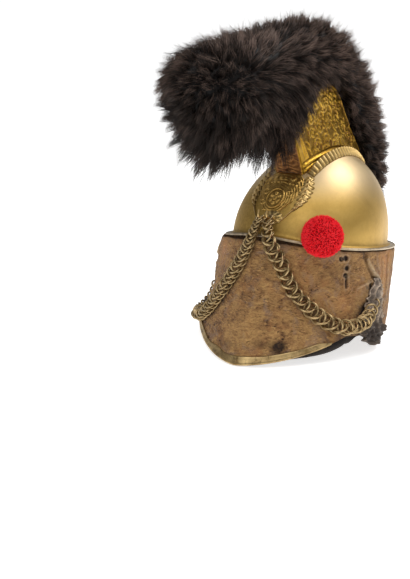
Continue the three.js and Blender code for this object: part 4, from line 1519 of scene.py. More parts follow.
    def build(self) -> list[Piece]:
        """The crest as one closed skin, with its relief and the depth of its hollow places.

        Returns:
            The crest; its faces that look forward have the darker second finish.
        """
        u, side = self.loop_columns()
        on_side = np.abs(side) == 1
        on_front = ~on_side & (u == 0)
        foot = self.foot(u, side)
        t = foot + (1 - foot) * np.linspace(0, 1, self.up_rows)[:, None]
        points = self.side_point(u[None, :], t, side[None, :])
        relief, cols = np.zeros(t.shape), np.flatnonzero(on_side)
        along = np.broadcast_to(u, t.shape)[:, cols]
        relief[:, cols] = self.side_relief(along, t[:, cols], points[:, cols, 1], points[:, cols, 2])
        face = np.where(on_front, self.front_relief(side + 0 * t, t), 0)
        points[..., 0] += np.where(on_side, side, 0) * relief
        points[..., 1] -= face
        points[..., 1] += self.rounding * (on_front & (np.abs(side) > 0.9))
        hollow = np.clip(1 - np.where(on_front, face, relief), 0, 1)
        hollow = np.where((t < self.rolls_top) & ~on_front, np.clip(0.75 - relief, 0, 0.95), hollow)
        plain_margin = on_side & (self.edge_gap(u, t) < self.margin(t) - 0.6)
        hollow = np.where(plain_margin & (t > self.rolls_top), 0.12, hollow)
        skin = Skin()
        skin.add(points, grid_faces(*t.shape, close_columns=True), Hollow=hollow)
        self.close_end(skin, points[-1], hollow[-1], flat=True)
        self.close_end(skin, points[0], hollow[0], flat=False)
        crest = skin.dressed("brass_crest", self.head, RELIEF_BRASS.material(), "crest", "relief_brass")
        facing = face_values(crest.data, "normal")[:, 1] < -0.72
        second_finish(crest.data, FACE_BRASS.material(), facing)
        return [crest]

    def front_relief(self, across: Array, t: Array) -> Array:
        """The front face: a raised border, strokes over level lines, and a row of beads near the foot.

        Args:
            across: -1 at the right edge to 1 at the left edge.
            t: up from the foot.

        Returns:
            The height of the relief.
        """
        border = 0.9 * bump_shape((np.abs(across) - 0.86) / 0.07)
        within = smooth_step((0.80 - np.abs(across)) / 0.05)
        upper = smooth_step((t - 0.30) / 0.06)
        strokes = 0.9 * np.abs(np.sin(across * 11 + 0.8 * np.sin(t * 30))) ** 2 * upper
        lines = 0.7 * np.sin(t * 78 + 0.9 * np.sin(across * 7 + t * 40)) ** 2 * (1 - upper)
        beads = 1.1 * bump_shape((np.mod(across * 7, 1) - 0.5) / 0.42) * bump_shape((t - 0.035) / 0.020)
        ground = 0.3 * noise(np.stack([across * 16, t * 120, 0 * t], -1), 3, 8)
        return border + (strokes + lines) * within + beads + ground

    def close_end(self, skin: Skin, ring: Array, hollow: Array, flat: bool) -> None:
        """Closes the top level, or the foot along the bowl, from the outline in to the middle line.

        Args:
            skin: the crest's skin.
            ring: the outline's points.
            hollow: the outline's depth marks.
            flat: whether the lid is level with the outline; otherwise it lies on the bowl.
        """
        steps = np.linspace(1, 0, 9)[:, None]
        x = ring[None, :, 0] * steps
        y = ring[None, :, 1] + 0 * x
        if flat:
            z = ring[None, :, 2] + 0 * x
        else:
            z = np.where(steps == 1, ring[None, :, 2], self.skull.height_over(x, y) - 0.3)
        faces = grid_faces(len(steps), len(ring), close_columns=True)
        skin.add(np.stack([x, y, z], axis=-1), faces if flat else faces[:, ::-1], Hollow=hollow)


# ---------------------------------------------------------------- ribbed strip, plate and leaves


@dataclass
class GadroonStrip:
    """A strip of short round ribs on the bowl beside the crest's foot."""

    head: HeadFrame
    skull: SkullForm
    crest: Crest
    side: Side
    ribs: int = 25
    start: float = -61.5
    end: float = 86.0
    width: float = 10.0
    clear: float = 1.2
    rise: float = 5.0
    seat: float = 0.45

    def near_edge(self, y: Array) -> Array:
        """The strip's inner edge: the crest's foot and a small gap."""
        rows = np.array(self.crest.rows, float)
        return np.interp(y, rows[:, 0], rows[:, 4]) + 0.6 + self.clear

    def build(self) -> list[Piece]:
        """Ribs whose height is a half circle along the strip and rounded off at both ends.

        Returns:
            The strip.
        """
        along = np.linspace(0, 1, self.ribs * 12 + 1)[:, None]
        across = np.linspace(0, 1, 15)[None, :]
        y = self.start + (self.end - self.start) * along
        taper = np.minimum(1, (self.end + 6 - y) / 30)
        x = self.side.value * (self.near_edge(y) + self.width * taper * across)
        rib = bump_shape((2 * np.mod(along * self.ribs, 1) - 1) / 0.64)
        ends = np.clip(1 - np.abs(2 * across - 1) ** 5, 0, 1) ** 0.5
        lean = self.rise * (1 - across) ** 1.3 * np.minimum(1, taper) * smooth_step((y - self.start) / 18)
        height = self.seat + lean + 0.25 * ends + 2.6 * rib * ends * np.minimum(1, taper + 0.25)
        top = self.skull.stand_off(x, y, height)
        low = self.skull.stand_off(x[:, ::-7], y, self.seat)
        skin = Skin()
        section, hollow = backed(top, low, 1 - np.clip(rib * ends * 1.8, 0, 1), 1.0)
        skin.sweep(section, Hollow=hollow)
        name, node = f"gadroons_{self.side.word}", f"gadroon_{self.side.word}"
        return [skin.dressed(name, self.head, RUBBED_RELIEF.material(), node, "relief_brass")]


@dataclass
class FrontPlate:
    """The palmette plate on the brow: ribs fan up from an oval boss to a beaded upper edge."""

    head: HeadFrame
    skull: SkullForm
    rows: Rows = (
        # height, half-width
        (38, 11), (44, 16), (51, 22), (58, 25),
        (65, 26), (72, 25), (78, 21), (82, 16),
    )

    def relief(self, x: Array, s: Array, share: Array) -> Array:
        """The palmette in low relief, in millimetres.

        Args:
            x: across the plate.
            s: up from its lower edge.
            share: how far out towards the side edge, -1 to 1.

        Returns:
            Fan ribs round an oval with rings and a six-petalled rosette, beads, curls and a border.
        """
        turn = np.arctan2(x, s + 8)
        reach = np.hypot(x, s + 8)
        oval = np.hypot(x / 10.0, (s - 19) / 13.0)
        ribs = 0.6 + 0.30 * np.cos(oval * 24) + 0.20 * np.cos(turn * 34) * smooth_step((oval - 1.3) / 0.4)
        rings = 0.5 + 0.38 * np.cos(oval * 30)
        out, petal = np.hypot(x, 0.77 * (s - 19)), np.cos(6 * np.arctan2(x, 0.77 * (s - 19)))
        rosette = 1.9 * bump_shape(out / 2.3) + 1.5 * bump_shape((out - 5.2) / 2.4) * (0.5 + 0.5 * petal)
        height = np.where(oval < 1, rings * 0.4 + rosette, ribs)
        height = height + 0.9 * bump_shape((oval - 1.02) / 0.09)
        border = 0.6 * bump_shape((np.abs(share) - 0.95) / 0.04)
        beads = 0.9 * bump_shape((reach - 50.0) / 1.3) * np.abs(np.cos(turn * 34))
        beads = beads + 0.9 * bump_shape((reach - 56.0) / 2.6) * np.abs(np.sin(turn * 24)) * 1.1
        curls = 0.8 * bump_shape((np.hypot(np.abs(x) - 14, s - 12) - 3.0) / 0.8)
        curls = curls + 0.8 * bump_shape((np.hypot(np.abs(x) - 15, s - 27) - 3.4) / 0.8)
        return np.maximum(height, border) + beads + curls

    def build(self) -> list[Piece]:
        """The plate as a closed shell that follows the bowl.

        Returns:
            The plate.
        """
        table = np.array(self.rows, float)
        up = np.linspace(0, 1, 100)[:, None]
        share = np.linspace(-1, 1, 116)[None, :]
        low, high = table[0, 0], table[-1, 0]
        z = low + (high - low) * up
        half = np.interp(z, table[:, 0], table[:, 1]) * (1 + 0.025 * np.cos(up * 44))
        reach = self.skull.at(math.pi / 2, z)[..., 0]
        angle = np.arcsin(share * half / reach)
        height = self.relief(share * half, (z - low) * 1.25 + 0 * share, share)
        edge = smooth_step((1 - np.abs(share)) / 0.05) * smooth_step(up / 0.03) * smooth_step((1 - up) / 0.03)
        outer = self.skull.at(angle, z, 0.0, 0.6 + height * edge)
        inner = self.skull.at(angle[:, ::-11], z, 0.0, 0.3)
        marks = np.clip(1.05 - height / 1.3, 0, 1) * edge + 0.2 * (1 - edge)
        skin = Skin()
        section, hollow = backed(outer, inner, marks, 1.0)
        skin.sweep(section, Hollow=hollow)
        brass = PLATE_BRASS.material()
        return [skin.dressed("palmette_plate", self.head, brass, "front_plate", "relief_brass")]


@dataclass
class LaurelLeaf:
    """The spray of leaflets on the bowl between the plate and the ribbed strip."""

    head: HeadFrame
    skull: SkullForm
    side: Side
    rows: Rows = (
        # x, y, half-width
        (26, -97, 1.5),
        (30, -91, 4.5),
        (32, -84, 6),
        (31.5, -76, 6),
        (29, -69, 5),
        (26.5, -63.5, 3.2),
    )
    stalk: Rows = ((26.5, -95.5), (22.5, -100), (18.5, -103.5), (15.0, -106))

    def build(self) -> list[Piece]:
        """Leaflets as slanted almonds in low relief on both sides of a round stem, and a bare stalk.

        Returns:
            The spray.
        """
        line = through_points(np.array(self.rows, float), 150)
        across = np.linspace(-1, 1, 25)[None, :]
        along = np.linspace(0, 1, len(line))[:, None]
        lobes = 0.72 + 0.60 * np.abs(np.cos(math.pi * 8 * along - 1.2))
        half = (0.86 * line[:, 2:3] + 1.2) * lobes
        x = self.side.value * (line[:, 0:1] + 0.8 * half * across)
        y = line[:, 1:2] + 0.6 * half * across
        phase = np.mod(along * 8 + 0.9 * np.abs(across), 1)
        leaf = bump_shape(2 * phase - 1) * bump_shape(across * 0.98) ** 0.5
        vein = 0.35 * bell((phase - 0.5) / 0.07) * (np.abs(across) > 0.15)
        stem = 0.9 * bump_shape(across / 0.12)
        height = (2.3 * leaf - vein + stem) * bump_shape(across) ** 0.3 * bump_shape(2 * along - 1) ** 0.3
        top = self.skull.stand_off(x, y, 0.6 + np.maximum(height, 0))
        low = self.skull.stand_off(x[:, ::-6], y[:, ::-6], 0.5)
        skin = Skin()
        section, hollow = backed(top, low, np.clip(1.15 - height / 1.5, 0, 1), 1.0)
        skin.sweep(section, Hollow=hollow)
        stalk = np.array(self.stalk)
        path = self.skull.stand_off(self.side.value * stalk[:, 0], stalk[:, 1], 0.9)
        skin.add(*tube(through_points(path, 24), 0.7, 8), Hollow=0.35)
        name, node = f"laurel_{self.side.word}", f"leaf_{self.side.word}"
        return [skin.dressed(name, self.head, RUBBED_RELIEF.material(), node, "relief_brass")]


# ---------------------------------------------------------------- hide, leather and edging


@dataclass
class HideCover:
    """The worn hide over turban and visor, with its folds, holes, dents and stains."""

    head: HeadFrame
    form: CoverForm
    around: int = 420
    outer_rows: int = 98
    inner_rows: int = 10
    folds: tuple[tuple[Rows, float, float, int], ...] = (
        # points as angle and height, half-width, height, steep side (-1 right of the line, 1 left)
        (((74, -9), (76, -18), (81, -29), (87, -36), (92, -50)), 2.4, 3.6, -1),
        (((82, -10), (86, -22), (92, -34)), 1.6, 1.2, -1),
        (((91, -12), (95, -34), (97, -70)), 1.8, 1.4, -1),
        (((68, -46), (74, -40), (80, -36)), 2.4, 1.6, 1),
        (((100, -10), (103, -44), (101, -80)), 2.4, 1.4, -1),
        (((-58, -8), (-66, -30), (-62, -52)), 3.4, 3.0, 1),
        (((-74, -16), (-70, -46), (-76, -74)), 3.4, 3.0, 1),
        (((-88, -10), (-84, -44), (-90, -80)), 3.0, 2.2, -1),
        (((140, -12), (146, -50), (142, -84)), 5.0, 2.2, 1),
        (((-128, -14), (-136, -44), (-130, -80)), 5.0, 2.2, -1),
        (((178, -20), (174, -56), (178, -84)), 5.0, 1.8, 1),
    )
    holes: Rows = (
        # angle, height, radius
        (58.0, -9.5, 2.8),
        (55.0, -10.6, 2.5),
        (59.6, -20.8, 2.5),
        (59.2, -29.5, 2.4),
    )
    slits: tuple[tuple[Rows, float], ...] = (
        (((60.2, -33), (61, -43)), 1.4),
        (((78, -40), (80, -50), (78, -58)), 2.4),
        (((-66, -28), (-70, -48)), 1.8),
    )
    stains: Rows = (
        # angle, height, half-width, half-height, strength
        (28, -113, 6, 6.5, 1.6),
        (82, -50, 12, 26, 0.8),
        (78, -74, 16, 12, 0.8),
        (8, -20, 9, 14, 0.35),
        (20, -112, 16, 5, 0.5),
        (-10, -118, 18, 5, 0.4),
        (60, -20, 10, 12, 0.35),
        (-72, -60, 14, 24, 0.4),
        (50, -30, 20, 10, 0.2),
    )
    rubs: Rows = (
        (95, -20, 18, 40, 0.9),
        (-40, -16, 16, 18, 0.8),
        (60, -62, 12, 12, 0.5),
        (30, -40, 20, 12, 0.3),
        (-76, -30, 14, 30, 0.8),
    )

    def spots(self, across: Array, z: Array, rows: Rows) -> Array:
        """Soft oval patches: bell curves added up and held at 1.

        Args:
            across: angles round from the front.
            z: heights.
            rows: the patches' angle, height, half-width, half-height and strength.

        Returns:
            Numbers from 0 to 1.
        """
        total = np.zeros(z.shape)
        for angle, height, wide, tall, strength in rows:
            gap = wrap(across - math.radians(angle)) * PER_RADIAN
            total = total + strength * np.exp(-((gap / wide) ** 2) - ((z - height) / tall) ** 2)
        return np.clip(total, 0, 1)

    def shape(self, angle: Array, plain: Array) -> tuple[Array, Array, Array]:
        """The hide's own relief; a darkness that is painted shade in its holes and slits and beside its
        folds; and a paleness on the frayed rims of holes and slits, and painted highlights on fold crests.

        Args:
            angle: round from the front.
            plain: the smooth surface's points.

        Returns:
            Millimetres out from the smooth surface, a darkness and a paleness from 0 to 1.
        """
        across, z = wrap(angle) * PER_RADIAN, plain[..., 2]
        out = 0.9 * rough(plain, 34, 3, 11) + 0.45 * rough(plain, 12, 3, 17)
        out = out + 0.3 * rough(plain * [1, 1, 0.5], 5, 3, 23)
        dark, pale = np.zeros(z.shape), np.zeros(z.shape)
        for points, half, height, steep_side in self.folds:
            line = np.array([(wrap(math.radians(a)) * PER_RADIAN, h) for a, h in points])
            gap, along, side = distance_to_path(across, z, through_points(line, 16))
            steep = side * steep_side > 0
            width = np.where(steep, 0.35 * half, 1.5 * half)
            crown = height * bell(gap / width) * np.sin(math.pi * np.clip(along, 0.04, 0.96)) ** 0.5
            trough = bell((gap - 1.5 * half) / (0.8 * half)) * steep
            out = out + crown - 0.5 * height * trough
            # Painted shade in the trough beside the fold's steep side.
            dark = dark + 0.2 * height * bell((gap - half) / (0.55 * half)) * steep
            # Pale line along the fold's crest: painted highlight.
            pale = pale + 0.28 * height * bell(gap / 1.1) * np.sin(math.pi * np.clip(along, 0, 1)) ** 0.4
        for angle_of, height_of, radius in self.holes:
            level, up = across - math.radians(angle_of) * PER_RADIAN, z - height_of
            gap = np.hypot(level, up) * (1 + 0.06 * np.sin(2 * np.arctan2(up, level)))
            out = out - 1.9 * bell(gap / radius, 4) + 0.5 * bell(gap - 1.7 * radius)
            # Painted shade inside the hole.
            dark = dark + 2.2 * bell(gap / (radius * 1.05), 4)
            pale = pale + 0.25 * bell((gap - 1.7 * radius) / 0.8)
        for points, half in self.slits:
            line = np.array([(math.radians(a) * PER_RADIAN, h) for a, h in points])
            gap, _, _ = distance_to_path(across, z, line)
            out = out - 1.7 * bell(gap / half) + 0.7 * bell((gap - 2 * half) / half)
            # Painted shade inside the slit.
            dark = dark + 1.2 * bell(gap / (1.1 * half))
            pale = pale + 0.2 * bell((gap - 2.2 * half) / 0.8)
        return out, np.clip(dark, 0, 1.8), np.clip(pale, 0, 1)

    def chain_trace(self, across: Array, z: Array) -> Array:
        """Painted shadow of the hanging chains on the hide: a soft dark line under each.

        Args:
            across: millimetres round from the front.
            z: heights.

        Returns:
            Numbers from 0 to 1.
        """
        total = np.zeros(z.shape)
        for side, route in ((1, LEFT_ROUTE), (-1, RIGHT_ROUTE)):
            line = np.array([(side * math.radians(a) * PER_RADIAN, h) for a, h, _ in route[3:]])
            gap, _, _ = distance_to_path(across, z, line)
            total = total + bell(gap / 6.5, 4)
        return np.clip(total, 0, 1)

    def build(self) -> list[Piece]:
        """The hide as a closed shell, its outside dense and its inside plain.

        Returns:
            The hide.
        """
        angle = circle(self.around)[:, None]
        angle = angle - 0.45 * np.sin(angle - math.radians(60))
        down = np.linspace(0, 1, self.outer_rows)[None, :]
        across = angle + 0 * down
        plain = self.form.at(angle, down)
        _, normal = self.form.frame(across, down + 0 * angle)
        out, dark, pale = self.shape(across, plain)
        calm = smooth_step(down / 0.03) * (1 - 0.8 * smooth_step((down - 0.90) / 0.06))
        under_chain = 1 - 0.5 * bell(wrap(angle) / 0.12)
        outer = plain + normal * (out * calm * under_chain)[..., None]
        outer[..., 2] += 1.2 * line_noise(wrap(angle) * PER_RADIAN, 9, 31) * np.exp(-down / 0.03)
        inner = self.form.off(angle, np.linspace(1, 0, self.inner_rows)[None, :], -self.form.wall)
        inner[:, 0, 2] = outer[:, -1, 2]
        # Darker bands along the lower edge, and along the top edge as painted shade under the bowl's lip.
        torn = 0.6 * bell((down - 1) / 0.05) + 0.5 * bell(down / 0.025)
        stain = np.maximum(self.spots(across, plain[..., 2], self.stains), dark) + 0.6 * torn
        # Painted shadow under the hanging chains.
        stain = stain + 0.55 * self.chain_trace(wrap(across) * PER_RADIAN, plain[..., 2])
        section, shade_of = backed(outer, inner, np.clip(stain, 0, 1.8), 0.75)
        section[..., 2] = np.maximum(section[..., 2], self.head.table(section[..., 1]))
        rust = backed(outer, inner, self.spots(across, plain[..., 2], self.rubs), 0.0)[1]
        # Frayed rims of holes and slits, and painted highlights on fold crests.
        faded = backed(outer, inner, pale, 0.0)[1]
        skin = Skin()
        faces = grid_faces(*section.shape[:2], close_rows=True, close_columns=True)
        skin.add(section, faces, Stain=shade_of, Rust=rust, Pale=faded)
        return [skin.dressed("worn_hide_cover", self.head, HIDE.material(), "hide_cover", "hide")]


@dataclass
class VisorLeather:
    """The visor's own leather under the hide, bare by the near corner."""

    head: HeadFrame
    form: CoverForm
    start: float = 0.72
    half_angle: float = math.radians(75)
    thick: float = 2.0
    below: float = 1.9

    def build(self) -> list[Piece]:
        """A closed shell: level rows down to an edge that stands out past the hide by the left corner.

        Returns:
            The leather.
        """
        angle = np.linspace(-self.half_angle, self.half_angle, 230)[:, None]
        share = np.linspace(0, 1, 26)[None, :]
        bulge = bell((angle - math.radians(60)) / math.radians(20))
        drawn_in = smooth_step((np.abs(angle) - math.radians(66)) / math.radians(9))
        past = -2 + 11 * bulge * (1 - drawn_in * 0.75)
        down = self.start + (1 - self.start) * np.minimum(share * 1.3, 1)
        extra = past * np.clip((share * 1.3 - 1) / 0.3, 0, 1)
        lift = -self.form.wall - self.below
        ragged = 0.5 * line_noise(angle * PER_RADIAN, 5, 41)
        outer = self.form.off(angle, down, lift, extra + ragged * (share > 0.8))
        outer = outer + unit(outer * [1, 1, 0]) * (0.25 * rough(outer, 9, 3, 44))[..., None]
        inner = self.form.off(angle, down, lift - self.thick, extra)[:, ::-5]
        section, wear = backed(outer, inner, 0.6 * smooth_step((share - 0.86) / 0.1), 0.0)
        section[..., 2] = np.maximum(section[..., 2], self.head.table(section[..., 1]) + 0.4)
        skin = Skin()
        skin.sweep(section, 0.0, Wear=wear)
        leather = LEATHER.material()
        return [skin.dressed("bare_visor_leather", self.head, leather, "visor_leather", "black_leather")]


@dataclass
class VisorBand:
    """The brass edging folded over the visor's edge."""

    head: HeadFrame
    form: CoverForm
    first: float = math.radians(-64)
    last: float = math.radians(56)
    edge: float = 0.942
    thick: float = 1.0
    gap: float = 0.3

    def build(self) -> list[Piece]:
        """A closed strip: a flat lip outside, a round nose under the edge and a flat lip inside.

        Returns:
            The strip.
        """
        angle = np.linspace(self.first, self.last, 260)[:, None]
        over, under = self.gap + self.thick, -self.form.wall - self.gap
        inmost = under - self.thick
        middle, half = (over + under - self.thick) / 2, (over - under + self.thick) / 2
        turn = np.linspace(0, math.pi, 9)[1:-1]
        nose = zip(np.ones(7), middle + half * np.cos(turn), over * np.sin(turn))
        outside = [(self.edge, self.gap, 0), (self.edge, over - 0.2, 0), (self.edge + 0.010, over, 0)]
        outside += [(0.965, over - 0.25, 0), (0.985, over, 0), (1, over, 0)]
        inside = [(1, inmost, 0), (self.edge, inmost, 0), (self.edge, under, 0)]
        inside += [(1, under, self.gap), (1, self.gap, self.gap)]
        down, lift, past = np.array([*outside, *nose, *inside]).T[:, None, :]
        wave = 0.25 * line_noise(angle * PER_RADIAN, 14, 52)
        uneven = 0.012 * line_noise(angle * PER_RADIAN, 20, 55, over=9)
        taper = 0.040 * smooth_step((angle - math.radians(47)) / math.radians(9))
        down = np.where(down < 0.99, down + (uneven + taper) * (1 - down) / 0.05, down)
        section = self.form.off(angle, down, lift + wave * (lift > 0.5), past)
        section[..., 2] = np.maximum(section[..., 2], self.head.table(section[..., 1]))
        skin = Skin()
        skin.sweep(section)
        return [skin.dressed("visor_edging", self.head, BAND_BRASS.material(), "visor_band", "band_brass")]


# ---------------------------------------------------------------- pompon


@dataclass
class Pompon:
    """A ball of cut red wool on a pin at the bowl's left front."""

    head: HeadFrame
    skull: SkullForm
    radius: float = 25.0
    angle: float = math.radians(39.5)
    z: float = 16.0
    lift: float = 23.0
    tufts: int = 5200

    def centre(self) -> Array:
        """The ball's middle."""
        return self.skull.at(self.angle, self.z, 0.0, self.lift)

    def core(self) -> Array:
        """The ball under the wool, in the dark root colour as painted shade between the tufts, made uneven by
        noise.

        Returns:
            Its points, one ring a row.
        """
        lat = np.linspace(0, math.pi, 40)[:, None]
        lon = circle(64)[None, :]
        way = np.stack([np.sin(lat) * np.cos(lon), np.sin(lat) * np.sin(lon), np.cos(lat) + 0 * lon], axis=-1)
        return self.centre() + way * (self.radius - 2.6 + 0.8 * noise(way * 20, 3, 3))[..., None]

    def tuft_paths(self) -> tuple[Array, Array, Array]:
        """Short thick tufts whose roots follow a spiral that covers the sphere evenly, but for its foot.

        Returns:
            Paths shaped (tufts, 3, 3), half-widths and tones.
        """
        rng = np.random.default_rng(7)
        centre = self.centre()
        i = np.arange(self.tufts) + 0.5
        up = 1 - 2 * i / self.tufts
        turn = math.pi * (1 + 5**0.5) * i
        ring = np.sqrt(1 - up * up)
        way = np.stack([ring * np.cos(turn), ring * np.sin(turn), up], axis=1)
        foot = centre - unit(centre * [1, 1, 0]) * self.lift
        way = way[(way @ unit(centre - foot)) > -0.80]
        lean = unit(way + 0.5 * rng.normal(size=way.shape))
        length = 2.5 + 1.5 * rng.random(len(way)) + 0.8 * noise(way * 30, 5, 9)
        root = centre + way * (self.radius - 3.6)
        bend = root + lean * (0.6 * length)[:, None]
        tip = bend + unit(lean + 0.5 * rng.normal(size=way.shape)) * (0.5 * length)[:, None]
        widths = np.stack([0.62 + 0 * length, 0.56 + 0.22 * rng.random(len(way)), 0 * length], axis=1)
        return np.stack([root, bend, tip], axis=1), widths, rng.random(len(way))

    def build(self) -> list[Piece]:
        """The core and its wool.

        Returns:
            Both, in one finish.
        """
        wool = WOOL.material()
        core, tufts = Skin(), Skin()
        # The core takes the dark root colour: painted shade between the tufts.
        core.add(self.core(), grid_faces(40, 64, close_columns=True), Tone=0.1, Tip=0.0)
        tufts.add_hairs(*self.tuft_paths(), 0.7)
        ball = core.dressed("pompon_core", self.head, wool, "pompon", "red_wool")
        return [ball, tufts.dressed("pompon_wool", self.head, wool, "pompon", "red_wool", merge=False)]


# ---------------------------------------------------------------- chenille


@dataclass
class Chenille:
    """The roll of fur over the crest: a dark core and tens of thousands of hairs drawn into locks."""

    head: HeadFrame
    hairs_a_piece: int = 16800
    pieces: int = 3
    locks: int = 1250
    pole: tuple[float, float] = (0.235, math.radians(80))
    comb: float = 15.0
    rows: Rows = (
        # x, y, z, lean, up, side, down
        (-24, -274, 166, -24, 3, 3, 3),
        (-24, -270, 166, -20, 17, 16, 18),
        (-24, -255, 167, -12, 38, 34, 36),
        (-22, -231, 168, -6, 55, 50, 55),
        (-17, -202, 173, 0, 62, 59, 104),
        (-14, -168, 186, 0, 61, 57, 64),
        (-9, -140, 200, 0, 52, 52, 109),
        (-3, -116, 208, 0, 52, 52, 126),
        (0, -90, 213, 0, 54, 50, 82),
        (0, -55, 215, 2, 57, 50, 36),
        (0, -22, 210, 8, 59, 49, 22),
        (0, 8, 196, 18, 61, 48, 15),
        (0, 36, 172, 38, 63, 47, 15),
        (0, 62, 148, 50, 61, 45, 15),
        (0, 90, 121, 58, 56, 42, 15),
        (0, 108, 92, 70, 52, 38, 14),
        (0, 115, 62, 80, 50, 34, 12),
        (0, 118, 34, 88, 44, 28, 10),
        (0, 126, 14, 92, 18, 14, 6),
    )
    fullness: float = 0.85
    stations: int = 180
    spokes: int = 64

    def point(self, along: Array, turn: Array, share: Array) -> Array:
        """Points in the roll: an egg-shaped section, tipped by its lean, at a place along its rows.

        Args:
            along: 0 at the front end to 1 at the tail.
            turn: round from the top towards the wearer's left.
            share: how far out from the section's middle.

        Returns:
            The points.
        """
        along, turn, share = together(along, turn, share)
        row = between_rows(self.rows, along)
        across = np.sin(turn)
        rise = share * np.cos(turn) * np.where(np.cos(turn) > 0, row[..., 4], row[..., 6])
        lean = np.radians(row[..., 3])
        x = row[..., 0] + share * row[..., 5] * np.sign(across) * np.abs(across) ** self.fullness
        return np.stack([x, row[..., 1] + rise * np.sin(lean), row[..., 2] + rise * np.cos(lean)], axis=-1)

    def scatter(self, count: int, rng: np.random.Generator) -> tuple[Array, Array]:
        """Places spread evenly over the roll's surface, drawn by the area of its cells.

        Args:
            count: how many places.
            rng: the source of random numbers.

        Returns:
            Their places along and round the roll.
        """
        along, turn = np.linspace(0, 1, self.stations), circle(self.spokes)
        grid = self.point(along[:, None], turn[None, :], 1.0)
        ahead = np.linalg.norm(np.diff(grid, axis=0), axis=-1)
        round_ = np.linalg.norm(np.roll(grid, -1, 1) - grid, axis=-1)[:-1]
        area = (ahead * round_).ravel()
        cell = rng.choice(area.size, count, p=area / area.sum())
        a = along[cell // self.spokes] + rng.random(count) / (self.stations - 1)
        return a, turn[cell % self.spokes] + rng.random(count) * TURN / self.spokes

    def heart(self, along: Array) -> Array:
        """The place that a hair grows from: the roll's middle line, drawn back from both its ends."""
        drawn = along + np.maximum(0.17 - along, 0) * 0.62 - np.maximum(along - 0.90, 0) * 0.7
        return self.point(drawn, 0.0, 0.0)

    def combed(self, place: Array, heart: Array, along: Array) -> Array:
        """How far the front end's hair lies over: along the surface, away from its crown.

        Args:
            place: points on the roll's surface.
            heart: where their hair grows from.
            along: their places along the roll.

        Returns:
            Offsets in millimetres, none behind the front end.
        """
        crown = self.point(*self.pole, 1.0)
        out = unit(place - heart)
        away = place - crown
        away = away - out * (away * out).sum(-1, keepdims=True)
        far = np.linalg.norm(away, axis=-1, keepdims=True)
        strength = smooth_step((far - 4) / 34) * (1 - smooth_step((along[:, None] - 0.34) / 0.08))
        return away / np.maximum(far, 1e-6) * strength * self.comb

    def hair_paths(self, count: int, seed: int) -> tuple[Array, Array, Array]:
        """Middle lines of hairs: out from the heart, bent towards their lock's pointed tip, falling a little.

        Args:
            count: how many hairs.
            seed: the seed of the scatter.

        Returns:
            Paths shaped (hairs, 3, 3), half-widths, and tones with painted shade on hairs that point down and
            painted light towards the tail.
        """
        rng, shared = np.random.default_rng(seed), np.random.default_rng(99)
        lock_a, lock_t = self.scatter(self.locks, shared)
        lock_place, lock_heart = self.point(lock_a, lock_t, 1.0), self.heart(lock_a)
        lean = shared.normal(size=(self.locks, 3)) * 3.5 + self.combed(lock_place, lock_heart, lock_a)
        stretch = 0.90 + 0.19 * shared.random(self.locks) + 0.03 * (lock_a > 0.34)
        lock_tip = lock_heart + (lock_place - lock_heart) * stretch[:, None] + lean
        lock_tone = shared.random(self.locks)
        a, t = self.scatter(count, rng)
        place, heart = self.point(a, t, 1.0), self.heart(a)
        near = nearest_lock(place, lock_place)
        apart = np.linalg.norm(place - lock_place[near], axis=1)
        pull = np.clip(0.86 - 0.022 * apart + 0.14 * rng.normal(size=count), 0.1, 0.96)
        stray = rng.random(count) > 0.84
        pull = np.where(stray, 0.1 * rng.random(count), pull)
        own = np.where(stray, 0.92 + 0.24 * rng.random(count) ** 1.5, 0.78 + 0.10 * rng.random(count))
        root = heart + (place - heart) * (0.48 + 0.16 * rng.random(count))[:, None]
        own_tip = heart + (place - heart) * own[:, None] + self.combed(place, heart, a) * 0.9
        tip = own_tip + (lock_tip[near] - own_tip) * pull[:, None] + rng.normal(size=(count, 3)) * 1.4
        reach = np.linalg.norm(tip - root, axis=1)[:, None]
        bend = root + unit(place - heart) * 0.5 * reach + rng.normal(size=(count, 3)) * 0.11 * reach
        s = np.array([0.0, 0.52, 1.0])[None, :, None]
        paths = (1 - s) ** 2 * root[:, None] + 2 * s * (1 - s) * bend[:, None] + s**2 * tip[:, None]
        paths[..., 2] -= (2.0 + 3.5 * rng.random(count))[:, None] * s[..., 0] ** 2
        thick = 0.20 + 0.22 * rng.random(count)
        widths = thick[:, None] * np.array([1.0, 0.85, 0.0])[None, :]
        tones = 0.75 * rng.random(count) ** 2 + 0.22 * lock_tone[near] + 0.2 * rough(place, 60, 2, 61)
        # Hairs that point down are darker, painted shade on the roll's underside; hairs towards the tail are
        # lighter, painted light from behind.
        below = 1 - smooth_step((unit(place - heart)[:, 2] + 0.85) / 1.1)
        return paths, widths, tones - 0.42 * below + 0.12 * smooth_step((a - 0.42) / 0.15)

    def core(self) -> Array:
        """The dark body under the hairs, partly the fur's own black and partly painted shade: the roll drawn
        in towards its heart, broken into tufts.

        Returns:
            Its points, one ring a row.
        """
        along = np.linspace(0, 1, 150)[:, None]
        plain = self.point(along, circle(48)[None, :], 1.0)
        heart = self.heart(along)
        return heart + (plain - heart) * (0.72 + 0.05 * rough(plain, 18, 3, 71))[..., None]

    def build(self) -> list[Piece]:
        """The core and the hairs, in several pieces.

        Returns:
            All of them, in one finish.
        """
        fur = FUR.material()
        skin = Skin()
        # The core takes the darkest root colour: partly the fur's black, partly painted shade between the
        # hairs.
        skin.sweep(self.core(), Tone=0.0, Tip=0.0)
        made = [skin.dressed("chenille_core", self.head, fur, "chenille", "black_fur")]
        for number in range(self.pieces):
            paths, widths, tones = self.hair_paths(self.hairs_a_piece, 20 + number)
            skin = Skin()
            skin.add_hairs(paths, widths, np.clip(tones, 0, 1), 0.5)
            name = f"chenille_hair_{number + 1}"
            made.append(skin.dressed(name, self.head, fur, "chenille", "black_fur", merge=False))
        return made


